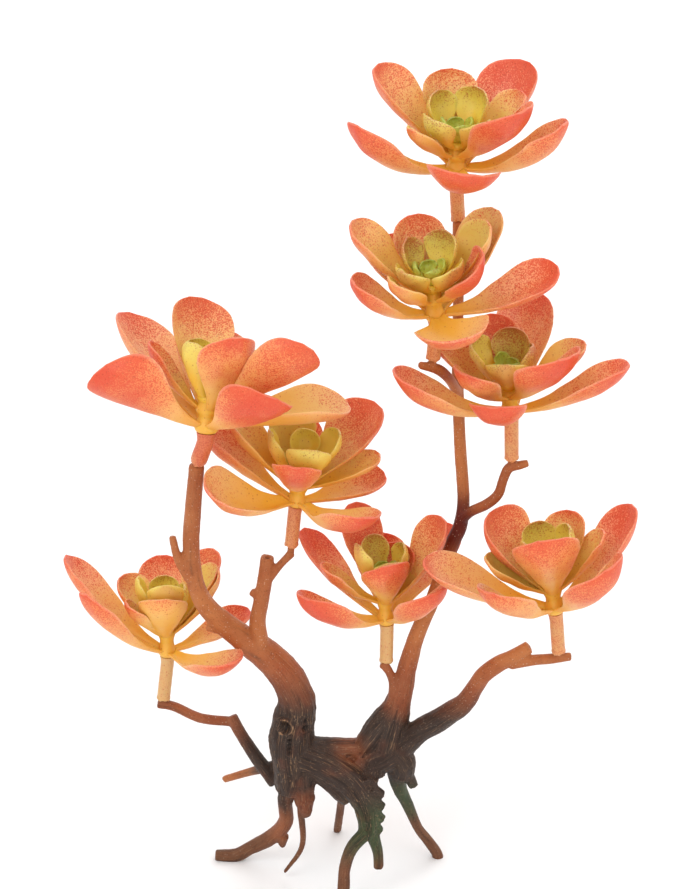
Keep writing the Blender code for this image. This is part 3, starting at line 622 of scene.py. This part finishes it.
def makeStem(headName, material, number):
    head, look = heads[headName], stemShape
    axes, seat, elbow, way = neckLine(head)
    up, size = axes[2], head["size"]
    foot = seat + way * head["gap"]
    straight = np.linalg.norm(elbow - foot)
    total = straight + (look["elbowDrop"] + look["top"]) * size
    radius, bore, lip = look["radius"] * max(size, 1), look["bore"], look["lip"]
    # from the top down the outside, then up the bore
    high, low = total - look["collar"], look["lipTop"]
    profile = [(look["topRadius"], total), (radius * 1.14, total - 0.05),
               (radius * 1.04, total - look["collar"] / 2), (radius, high)]
    steps = max(int((total - 6) / 1.5), 2)
    for step in range(1, steps):
        waved = radius * (1 + look["wavy"] * sin(step * 2.3 + number))
        profile.append((waved, high + (low - high) * step / steps))
    profile += [(radius * 0.99, low), (lip, 1.1), (lip, 0.35), (lip - 0.25, 0), (bore + 0.15, 0.02),
                (bore, 0.5), (bore, look["boreDepth"]), (0.3, look["boreDepth"] + 0.2)]
    piece = turnedPiece(headName + "Stem", profile, 24)
    points = getPoints(piece) / mm
    height = points[:, 2].copy()
    tones = np.full(len(height), stemTones[headName])
    setMarks(piece, "stemMarks", np.stack([height / total, tones], axis=1))
    # the moulded lip is ragged
    rim = np.clip(1.4 - height, 0, 1.4) / 1.4
    angle = np.arctan2(points[:, 1], points[:, 0])
    ragged = 0.35 * np.sin(angle * 3 + number * 1.7) + 0.25 * np.sin(angle * 7 + number)
    outside = np.hypot(points[:, 0], points[:, 1]) > bore + 0.05
    points[:, 2] = height + ragged * rim * outside * look["ragged"] + 0.4 * rim
    # bend the straight sleeve over its elbow
    blend = np.clip((points[:, 2] - straight + 2) / 4, 0, 1)
    blend = (blend * blend * (3 - 2 * blend))[:, None]
    towards = way * (1 - blend) + up * blend
    towards = towards / np.linalg.norm(towards, axis=1)[:, None]
    right = axes[0] - towards * (towards @ axes[0])[:, None]
    right = right / np.linalg.norm(right, axis=1)[:, None]
    away = np.cross(towards, right)
    along = points[:, 2:]
    line = np.where(along < straight, foot + way * along, elbow + up * (along - straight))
    setPoints(piece, (line + right * points[:, :1] + away * points[:, 1:2]) * mm)
    finishPiece(piece, headName + "_stem", material, 50)


# x, y, z and radius in mm along each stem, twig and root, with how deep the bark's grain is
branchRoutes = {
    "mainStem": (0.8, [(41, 10, 268.5, 2.1), (41.5, 11, 238.5, 2), (41.5, 11, 219.5, 2.1),
                       (42, 10, 202.5, 2.2), (43, 7, 182.5, 2.3), (44.5, 6, 162.5, 2.4),
                       (43.5, 5, 152, 2.7), (40.5, 4, 144.5, 2.8), (34, 1, 124.5, 2.8),
                       (28.5, 1, 110, 3.1), (25.5, 2, 98.5, 3.5), (22.5, 3, 83.5, 4.3),
                       (19, 4, 69, 6.2), (15.5, 4, 54.5, 6.4)]),
    "rightFlare": (0.8, [(21.5, 3, 79, 4.2), (12, 4, 63.5, 5.6), (7.5, 4, 56, 4.6)]),
    "upperTwig": (0.1, [(42, 10, 202.5, 2), (38.5, 0, 212.5, 1.9), (34, -7, 219.5, 2),
                        (27.5, -12.5, 223.5, 1.4)]),
    "rightTwig": (0.1, [(43.5, 5, 154, 2.2), (47, 2, 159, 2), (52.5, -3, 164.5, 2),
                        (56.5, -5, 169.5, 1.9), (58, -6, 175.5, 1.8), (60, -6, 180.5, 1.9),
                        (63.5, -6, 181.5, 1.7), (67, -6, 182.5, 1.4)]),
    "rightBranch": (0.5, [(21.5, 4, 56.5, 5.4), (28.5, 1, 66, 4.7), (39, -3, 76, 4.5),
                          (45.5, -6, 83, 3.9), (49.5, -8, 91, 3.3), (52.5, -10, 97.5, 3.2),
                          (57.5, -11, 102.5, 3.2), (62.5, -12, 106, 2.9), (69, -12, 110.5, 2.5)]),
    "lowRightTwig": (0.2, [(62, -12, 103.5, 2.4), (71, -12, 105, 2.1), (77, -12, 105.5, 2),
                           (84.5, -12, 106.5, 1.6)]),
    "lowMiddleTwig": (0.2, [(14.5, 1, 96, 1.6), (17, 1, 94, 1.7), (19, 1, 88, 1.6),
                            (19, 2, 80.5, 1.9), (19, 3, 72, 2.4)]),
    "leftTrunk": (1.0, [(-52, -6, 181.5, 2.9), (-53.5, -4, 166.5, 3.1), (-55, -2, 149.5, 3.2),
                        (-54.5, 0, 134, 3.3), (-51.5, 3, 121.5, 3.7), (-45.5, 5, 112.5, 4.4),
                        (-37, 7, 103.5, 5.1), (-28.5, 7, 96.5, 6), (-21.5, 5, 89.5, 6.7),
                        (-17, 4, 78.5, 7.3), (-18.5, 4, 68, 8.7), (-19.5, 4, 59.5, 8.8),
                        (-19, 4, 48.5, 7.8), (-20.5, 4, 39, 6)]),
    "leftStub": (0.5, [(-27.5, 6, 138.5, 2.6), (-28.5, 6, 129.5, 2.9), (-30, 5, 120.5, 3),
                       (-31.5, 5, 111.5, 3.2), (-30.5, 5, 102, 3.4)]),
    "leftStubKnob": (0.2, [(-31.5, 5.5, 122.5, 1.5), (-34, 6, 124, 1.5)]),
    "leftMiddleTwig": (0.2, [(-18.5, 6, 140, 1.7), (-22.5, 6, 135.5, 1.5), (-28, 6, 128, 1.8)]),
    "lowLeftTwig": (0.3, [(-71, 19, 68.5, 2), (-64.5, 19, 67, 1.9), (-54.5, 18, 62.5, 2),
                          (-42.5, 17, 61.5, 2)]),
    "lowLeftBranch": (0.6, [(-42.5, 17, 64, 2.3), (-39.5, 15, 58.5, 2.4), (-33, 12, 48.5, 2.7),
                            (-25.5, 9, 39, 3.2)]),
    "trunkStub": (0.3, [(-55.5, -2, 133, 2.2), (-59.8, -3, 142, 1.7), (-61.8, -3, 151.5, 1.4)]),
    "lowerKnob": (0.3, [(-45.5, 4, 109, 2), (-50.5, 4, 110, 1.5)]),
    "bridge": (0.8, [(-14, 4, 56, 6), (1, 4, 57.5, 4.2), (17.5, 4, 57.5, 5)]),
    "diagonalRoot": (0.9, [(-16, 2, 56, 6.4), (-4.5, 0, 52, 6.4), (3.5, -3, 47.5, 6.2),
                           (8.5, -6, 40.5, 5.4), (10, -8, 33, 4.6), (10, -9, 27.5, 3.6)]),
    "frontFoot": (0.6, [(10, -9, 29, 3), (4, -13, 24, 2.5), (1, -18, 18, 2.3), (0.5, -22, 11, 2.4),
                        (-1, -28, 1.5, 2.4), (-1.5, -30, -2, 2.4)]),
    "frontToe": (0.6, [(10.5, -9, 31, 3), (13.5, -9, 20, 2.2), (14, -9, 12, 2)]),
    "scallopHigh": (0.5, [(9, -5, 49, 2.8), (13.4, -5.6, 47.6, 1.7)]),
    "scallopTop": (0.5, [(11, -6.5, 45.6, 3), (15.6, -6.6, 42.8, 1.9)]),
    "scallopMiddle": (0.5, [(11.5, -7.5, 40.6, 3), (15.8, -7.4, 38.2, 1.8)]),
    "scallopLow": (0.5, [(12, -8.5, 36, 2.8), (15.6, -8.2, 33.2, 1.9)]),
    "scallopFoot": (0.5, [(12, -9, 31, 2.6), (15, -8.6, 28.4, 1.6)]),
    "underTrunk": (0.8, [(18, 3, 56, 6), (12, 1, 52, 5.8), (12.5, -1, 47, 4.2)]),
    "underBridge": (0.8, [(5, 2, 53.5, 4), (10, 0, 49.5, 4.5)]),
    "archLump": (0.8, [(-9, 2, 50, 5.4), (-4.5, 1, 46.5, 5.2), (0, 0, 42, 5), (3.5, -1, 38, 4)]),
    "leftFoot": (0.5, [(-21, 4, 45.5, 5), (-22, 5, 33.5, 3.1), (-22, 8, 22, 3), (-28, 12, 12, 3.2),
                       (-36, 14, 6, 2.8), (-42, 15, 2, 2.8), (-50, 15, 2, 2.3)]),
    "leftNub": (0.4, [(-22.5, 9, 15, 2), (-23.5, 10, 9.5, 1.4)]),
    "lobe": (0.7, [(-15, 2, 50, 5), (-14.5, 2, 36.5, 4), (-14, 2, 28.5, 2.2)]),
    "lobeHigh": (0.5, [(-13, 1, 42.5, 3), (-10.4, 1, 42, 1.8)]),
    "lobeMiddle": (0.5, [(-13, 1, 37, 2.8), (-10.6, 1, 36.2, 1.7)]),
    "lobeLow": (0.5, [(-14, 1, 31.5, 2.4), (-12, 0.5, 30.4, 1.5)]),
    "thinRoot": (0.2, [(-16, 2, 32, 1.5), (-15.5, 2, 15, 1.2), (-22.5, 2, 2.5, 0.8)]),
    "backStub": (0.4, [(-24, 10, 46, 3.2), (-33, 20, 38, 1.9), (-46.5, 30, 27.5, 1.5)]),
    "backRoot": (0.4, [(0, 1, 52, 4), (1, 9, 43, 3), (0, 23, 24.5, 1.8), (-2, 35, 1, 1.7),
                       (-2, 36, -1.5, 1.7)]),
    "rightFoot": (0.5, [(21.5, 4, 51.5, 5.4), (21.5, 7, 40, 3.2), (25.5, 11, 27.5, 2.4),
                        (29.5, 14, 15.5, 2), (33.5, 16.5, 8, 2.1), (37, 17, 2, 2.2),
                        (38, 17, -2, 2.2)]),
    "rightKnob": (0.8, [(19.5, 3, 58, 5), (23.5, 2, 52.5, 5), (23.5, 3, 45.5, 3.6)]),
    "rightNub": (0.5, [(25.5, 3, 45.5, 2.4), (27.5, 3, 41, 1.9)]),
}
branchShape = dict(voxel=0.55, sampleStep=1.2, pegRadius=1.4, pegLength=6.0, ruggedFrom=103, ruggedFade=32,
                   smoothShare=0.15, grainDepth=0.32, fineGrain=(3.2, 0.1), broadGrain=(1.2, 0.06),
                   lumpDepth=0.5, lumpScale=0.12, flowStretch=0.014)
barkTones = dict(gold="B9713F", rust="A05A36", maroon="5E201A", brown="70482F", dark="3C2F28",
                 moss="3A4B2E")
# the bark's tone at each height in mm
barkHeights = {0: "brown", 18: "brown", 36: "dark", 76: "dark", 94: "rust", 112: "gold", 290: "gold"}
# tones sprayed over it: tone, middle and reach in mm, and how well it covers
barkSprays = [
    # the fork, the stem below the upper heads and the right twig
    ("maroon", (42.5, 5, 153), 13, 0.97), ("maroon", (42, 11, 221), 9, 0.5),
    ("rust", (57, -4, 172), 14, 0.8),
    # the left trunk and its stub, the flare of the main stem and the bridge
    ("rust", (-54, -2, 160), 30, 0.5), ("rust", (-27, 6, 130), 18, 0.6), ("rust", (23, 2, 82), 9, 0.7),
    ("rust", (4, 4, 57), 8, 0.55),
    # the front and right feet, then the lobe, the left foot, the back stub and the low left twig
    ("moss", (11, -8, 28), 13, 0.95), ("moss", (24, 9, 33), 12, 0.85), ("rust", (-14, 1, 36), 7, 0.5),
    ("rust", (-23, 8, 22), 10, 0.6), ("gold", (-42, 28, 30), 14, 0.9), ("rust", (-57, 18, 64), 20, 0.9),
]
# pits and rings in the bark: place, radius, depth, rim height
barkKnots = [
    ((-21.4, -3.3, 71.2), 2.5, 1.4, 1.3), ((-13.8, -3.1, 70.6), 1.7, 1.0, 0.8),
    ((-13.4, -3.0, 73.4), 1.4, 0.7, 0.4), ((-19.8, -4.6, 65.6), 1.3, 1.2, 0.3),
    ((-19.8, -4.7, 63.8), 1.2, 1.2, 0.3), ((-19.8, -4.8, 62), 1.2, 1.2, 0.3),
    ((-19.8, -4.8, 60.2), 1.1, 1.1, 0.3), ((-27.3, 5.4, 139.2), 1.5, 1.3, 0.15),
    ((69.6, -12.2, 111), 1.1, 0.5, 0.2), ((84.6, -12.6, 107.0), 0.8, 0.4, 0.1),
    ((38, 0, 131), 0.9, 0.1, 0.3), ((-42.5, 14.5, 66), 1.3, 0.4, 0.2),
]


def smoothRoute(route):
    # a smooth curve through the route's points, sampled at even steps
    points = np.array(route, dtype=float)
    padded = np.vstack([2 * points[0] - points[1], points, 2 * points[-1] - points[-2]])
    samples = []
    for index in range(1, len(points)):
        before, start, end, after = padded[index - 1:index + 3]
        count = max(int(np.linalg.norm((end - start)[:3]) / branchShape["sampleStep"]), 2)
        square = 2 * before - 5 * start + 4 * end - after
        cube = 3 * start - before - 3 * end + after
        for share in np.arange(count) / count:
            samples.append((2 * start + (end - before) * share + square * share ** 2
                            + cube * share ** 3) / 2)
    samples.append(points[-1])
    return np.array(samples)


def routeTube(name, samples, resolution=4):
    curve = bpy.data.curves.new(name, "CURVE")
    curve.dimensions = "3D"
    curve.bevel_depth = mm
    curve.bevel_resolution = resolution
    curve.use_fill_caps = True
    spline = curve.splines.new("POLY")
    spline.points.add(len(samples) - 1)
    for target, sample in zip(spline.points, samples):
        target.co = (*(sample[:3] * mm), 1)
        target.radius = sample[3]
    tube = bpy.data.objects.new(name, curve)
    bpy.context.scene.collection.objects.link(tube)
    makeActive(tube)
    bpy.ops.object.convert(target="MESH")
    return bpy.context.object


def nearestRoute(points, lines):
    # for each point: the sample whose bark is nearest, and how the point lies round it
    centres = np.vstack([line[:, :3] for _, line in lines])
    radii = np.concatenate([line[:, 3] for _, line in lines])
    depths = np.concatenate([np.full(len(line), depth) for depth, line in lines])
    tangents = np.vstack([np.gradient(line[:, :3], axis=0) for _, line in lines])
    tangents = tangents / np.linalg.norm(tangents, axis=1)[:, None]
    lengths = []
    for index, (_, line) in enumerate(lines):
        steps = np.linalg.norm(np.diff(line[:, :3], axis=0), axis=1)
        lengths.append(np.concatenate([[0], np.cumsum(steps)]) + 100 * index)
    best = np.empty(len(points), dtype=int)
    for start in range(0, len(points), 4000):
        block = points[start:start + 4000]
        away = np.linalg.norm(block[:, None] - centres[None], axis=2) - radii[None]
        best[start:start + 4000] = away.argmin(axis=1)
    towards = tangents[best]
    offset = points - centres[best]
    ahead = (offset * towards).sum(axis=1)
    offset = offset - towards * ahead[:, None]
    offset = offset / np.maximum(np.linalg.norm(offset, axis=1), 0.001)[:, None]
    side = np.cross(towards, (0.3, 1.0, 0.1))
    side = side / np.linalg.norm(side, axis=1)[:, None]
    front = np.cross(towards, side)
    around = np.stack([(offset * side).sum(axis=1), (offset * front).sum(axis=1)], axis=1)
    return radii[best], depths[best], np.concatenate(lengths)[best] + ahead, around


def makeWood(lines):
    # tubes along the lines, melted into one closed skin and cut off level with the floor
    branch = joinAll([routeTube("route", line) for _, line in lines], "branchWood")
    applyModifier(branch, "REMESH", mode="VOXEL", voxel_size=branchShape["voxel"] * mm, adaptivity=0)
    applyModifier(branch, "SMOOTH", factor=0.5, iterations=5)
    makeActive(branch)
    bpy.ops.object.mode_set(mode="EDIT")
    bpy.ops.mesh.select_all(action="SELECT")
    bpy.ops.mesh.bisect(plane_co=(0, 0, 0), plane_no=(0, 0, 1), use_fill=True, clear_inner=True)
    bpy.ops.object.mode_set(mode="OBJECT")
    return branch


def paintAt(points):
    # a tone by height, then each spray over it, fading out from its middle
    tones = {name: np.array(rgb(code)[:3]) for name, code in barkTones.items()}
    steps = np.array([tones[name] for name in barkHeights.values()])
    paint = np.column_stack([np.interp(points[:, 2], list(barkHeights), band) for band in steps.T])
    for name, middle, reach, strength in barkSprays:
        far = np.linalg.norm(points - np.array(middle), axis=1) / reach
        cover = (strength * np.exp(-far ** 4))[:, None]
        paint = paint * (1 - cover) + tones[name] * cover
    return paint


def makeBranch(material):
    look = branchShape
    lines = [(depth, smoothRoute(route)) for depth, route in branchRoutes.values()]
    for head in heads.values():
        _, seat, _, way = neckLine(head)
        ends = seat - way, seat + way * (head["gap"] + look["pegLength"])
        lines.append((0.0, smoothRoute([(*end, look["pegRadius"]) for end in ends])))
    branch = makeWood(lines)
    points = getPoints(branch) / mm
    normals = np.empty(len(points) * 3)
    branch.data.vertices.foreach_get("normal", normals)
    normals = normals.reshape(-1, 3)
    radius, depth, along, around = nearestRoute(points, lines)
    # smooth above, rugged below
    rugged = np.clip((look["ruggedFrom"] - points[:, 2]) / look["ruggedFade"], 0, 1)
    depth = depth * (look["smoothShare"] + (1 - look["smoothShare"]) * rugged)
    # grain runs lengthwise: fine across, long along
    turns = around * np.sqrt(radius)[:, None]
    (fineAcross, fineAlong), (broadAcross, broadAlong) = look["fineGrain"], look["broadGrain"]
    fine = noiseAt(*(turns.T * fineAcross), along * fineAlong)
    broad = noiseAt(*(turns.T * broadAcross), along * broadAlong + 40)
    lumps = np.array([noise.fractal(Vector(p * look["lumpScale"]), 0.8, 2.1, 3) for p in points])
    furrow = -np.abs(fine) * 0.8 + broad * 0.7
    thick = np.clip((radius - 1.2) / 4, 0, 1)
    move = furrow * depth * look["grainDepth"] * (0.4 + thick)
    move = move + lumps * look["lumpDepth"] * thick * (0.3 + depth)
    # press the knots in and raise their rims
    hollow, lip = np.zeros(len(points)), np.zeros(len(points))
    for place, size, deep, rim in barkKnots:
        far = np.linalg.norm(points - np.array(place), axis=1) / size
        bowl = np.clip(1 - far ** 2, 0, 1) ** 1.5
        ring = np.exp(-((far - 1.15) / 0.25) ** 2)
        move = move * np.clip(far - 0.6, 0, 1) - deep * bowl + rim * ring
        hollow, lip = np.maximum(hollow, bowl), np.maximum(lip, ring * rim)
    # the soles stay flat
    move = move * np.clip((points[:, 2] - 0.05) / 1.5, 0, 1)
    setPoints(branch, (points + normals * move[:, None]) * mm)
    setMarks(branch, "barkPaint", paintAt(points))
    # light painted from the surface's shape: painted shade in the furrows and hollows, painted highlight on
    # the ridges and knot rims
    paintedReliefLight = 0.5 + furrow * 0.6 * np.minimum(depth + 0.25, 1) - hollow * 0.4 + lip * 0.45
    setMarks(branch, "barkMarks", np.stack([np.clip(paintedReliefLight, 0, 1), depth, hollow], axis=1))
    flow = branch.data.attributes.new("barkFlow", "FLOAT_VECTOR", "POINT")
    course = np.column_stack([turns, along * look["flowStretch"]])
    flow.data.foreach_set("vector", course.ravel())
    finishPiece(branch, "branch", material, 70)
    print("branch:", len(branch.data.polygons), "faces")


# the pale tone serves the grain lines and a painted highlight, the darkest tone the grain, the pits and
# painted shade
barkFinish = dict(
    paleGrainAndHighlight="B98E68", furrow="1C110C", streak="8C5038", glint="D9C2A8", rust="8A4426",
    cloudScale=110.0, rustScale=90.0, pitScale=1500.0, glintScale=1500.0,
    grainScale=9.0, courseScale=3.4,                    # these two follow the grain
    streakShare=0.3, rustShare=0.3, furrowShadeShare=0.6, ridgeHighlightShare=0.6, hollowShadeShare=0.7, pitShare=0.35,
    # from the smooth bark to the rugged
    darkShare=(0.08, 0.5), lightShare=(0.08, 0.12), courseShare=(0.16, 0.4), glintShare=(0.4, 0.1),
    gloss=(0.46, 0.6), bumps=0.35, bumpDepth=0.0004, sockets={"Specular IOR Level": 0.22})


def barkMaterial():
    look = barkFinish
    material, desk, shader = newMaterial("barkPlastic")
    spot = desk.add("ShaderNodeTexCoord").outputs["Object"]
    paint = desk.add("ShaderNodeAttribute", attribute_name="barkPaint").outputs["Color"]
    flow = desk.add("ShaderNodeAttribute", attribute_name="barkFlow").outputs["Vector"]
    paintedReliefLight, depth, hollow = desk.marks("barkMarks")
    grain = desk.noise(flow, look["grainScale"], 4.0, 0.6)
    cloud = desk.noise(spot, look["cloudScale"], 3.0)
    furrow, paleGrainAndHighlight = rgb(look["furrow"]), rgb(look["paleGrainAndHighlight"])
    streaks = desk.fade(cloud, 0.35, 0.7, 0.0, look["streakShare"])
    colour = desk.mix(streaks, paint, rgb(look["streak"]), "OVERLAY")
    # rust shows through here and there on the rugged part
    rusty = desk.fade(desk.noise(spot, look["rustScale"], 2.0), 0.55, 0.8)
    rusty = desk.times(rusty, desk.fade(depth, 0.2, 0.8, 0.0, look["rustShare"]))
    colour = desk.mix(rusty, colour, rgb(look["rust"]))
    # painted shade in the furrows, then the dark of the grain
    colour = desk.mix(desk.times(desk.fade(paintedReliefLight, 0.45, 0.1), look["furrowShadeShare"]), colour, furrow)
    dark = desk.times(desk.fade(grain, 0.48, 0.3), desk.fade(depth, 0.0, 1.0, *look["darkShare"]))
    colour = desk.mix(dark, colour, furrow)
    # thin light lines run with the grain
    course = desk.maths("ABSOLUTE", desk.minus(desk.noise(flow, look["courseScale"], 1.0, 0.4), 0.5))
    lines = desk.times(desk.fade(course, 0.014, 0.003), desk.fade(depth, 0.0, 1.0, *look["courseShare"]))
    colour = desk.mix(lines, colour, paleGrainAndHighlight)
    # light grain, and a painted highlight on the ridges and knot rims
    light = desk.times(desk.fade(grain, 0.56, 0.78), desk.fade(depth, 0.0, 1.0, *look["lightShare"]))
    light = desk.larger(light, desk.fade(paintedReliefLight, 0.72, 0.95, 0.0, look["ridgeHighlightShare"]))
    colour = desk.mix(light, colour, paleGrainAndHighlight)
    # dark hollows and pits, then painted glints: pale dots on the smooth part
    # painted shade in the knot hollows
    colour = desk.mix(desk.times(hollow, look["hollowShadeShare"]), colour, furrow)
    pits = desk.noise(spot, look["pitScale"], 2.0, 0.6)
    colour = desk.mix(desk.fade(pits, 0.42, 0.3, 0.0, look["pitShare"]), colour, furrow)
    paintedGlints = speckle(desk, spot, look["glintScale"], 0.22, 0.3)
    paintedGlints = desk.times(paintedGlints, desk.fade(depth, 0.1, 0.6, *look["glintShare"]))
    colour = desk.mix(paintedGlints, colour, rgb(look["glint"]))
    desk.finish(shader, look, colour, cloud, desk.plus(grain, desk.times(pits, 0.4)))
    return material


studio = dict(distance=1.0, elevation=25.0, lens=112.5, target=(0.003, 0.0, 0.187), floorSize=12.0,
              floorTone=(0.92, 0.92, 0.92, 1), skyPower=1.05, lightsAim=(0, 0, 0.17))
studioLights = {
    "keyPanel": dict(place=(-0.9, -1.1, 1.5), size=1.0, power=8.0),
    "fillPanel": dict(place=(1.3, -0.9, 0.9), size=1.2, power=4.0),
    "backPanel": dict(place=(0.5, 1.4, 1.2), size=1.2, power=6.0),
}


def makeStudio():
    deselectAll()
    bpy.ops.mesh.primitive_plane_add(size=studio["floorSize"], location=(0, 0, 0))
    floor = bpy.context.object
    floor.name = "studioFloor"
    material, desk, shader = newMaterial("studioPaper")
    desk.feed(shader.inputs["Base Color"], studio["floorTone"])
    shader.inputs["Roughness"].default_value = 0.9
    floor.data.materials.append(material)
    world = bpy.data.worlds.new("studioLight")
    world.use_nodes = True
    sky = world.node_tree.nodes["Background"]
    sky.inputs["Color"].default_value = (1, 1, 1, 1)
    sky.inputs["Strength"].default_value = studio["skyPower"]
    bpy.context.scene.world = world
    for name, values in studioLights.items():
        bpy.ops.object.light_add(type="AREA", location=values["place"])
        light = bpy.context.object
        light.name = name
        light.data.size = values["size"]
        light.data.energy = values["power"]
        aim = Vector(studio["lightsAim"]) - light.location
        light.rotation_euler = aim.to_track_quat("-Z", "Y").to_euler()
    target = Vector(studio["target"])
    tilt = radians(studio["elevation"])
    bpy.ops.object.camera_add(location=target + Vector((0, -cos(tilt), sin(tilt))) * studio["distance"])
    camera = bpy.context.object
    camera.rotation_euler = (pi / 2 - tilt, 0, 0)
    camera.data.lens = studio["lens"]
    camera.data.sensor_width = 36
    camera.data.clip_start = 0.01
    bpy.context.scene.camera = camera
    bpy.context.scene.view_settings.view_transform = "Standard"


makeStudio()
print("studio ready")
wood = barkMaterial()
makeBranch(wood)
print("branch done")
sleeves = stemMaterial()
for number, headName in enumerate(heads):
    makeStem(headName, sleeves, number)
print("stems done")
for kindNumber, kind in enumerate(rings):
    master = makeBlade(kind)
    plastic = leafMaterial(kind)
    for number, headName in enumerate(heads):
        makeRing(headName, kind, master, plastic, number + 10 * kindNumber)
    bpy.data.objects.remove(master)
    print(kind, "leaves done")
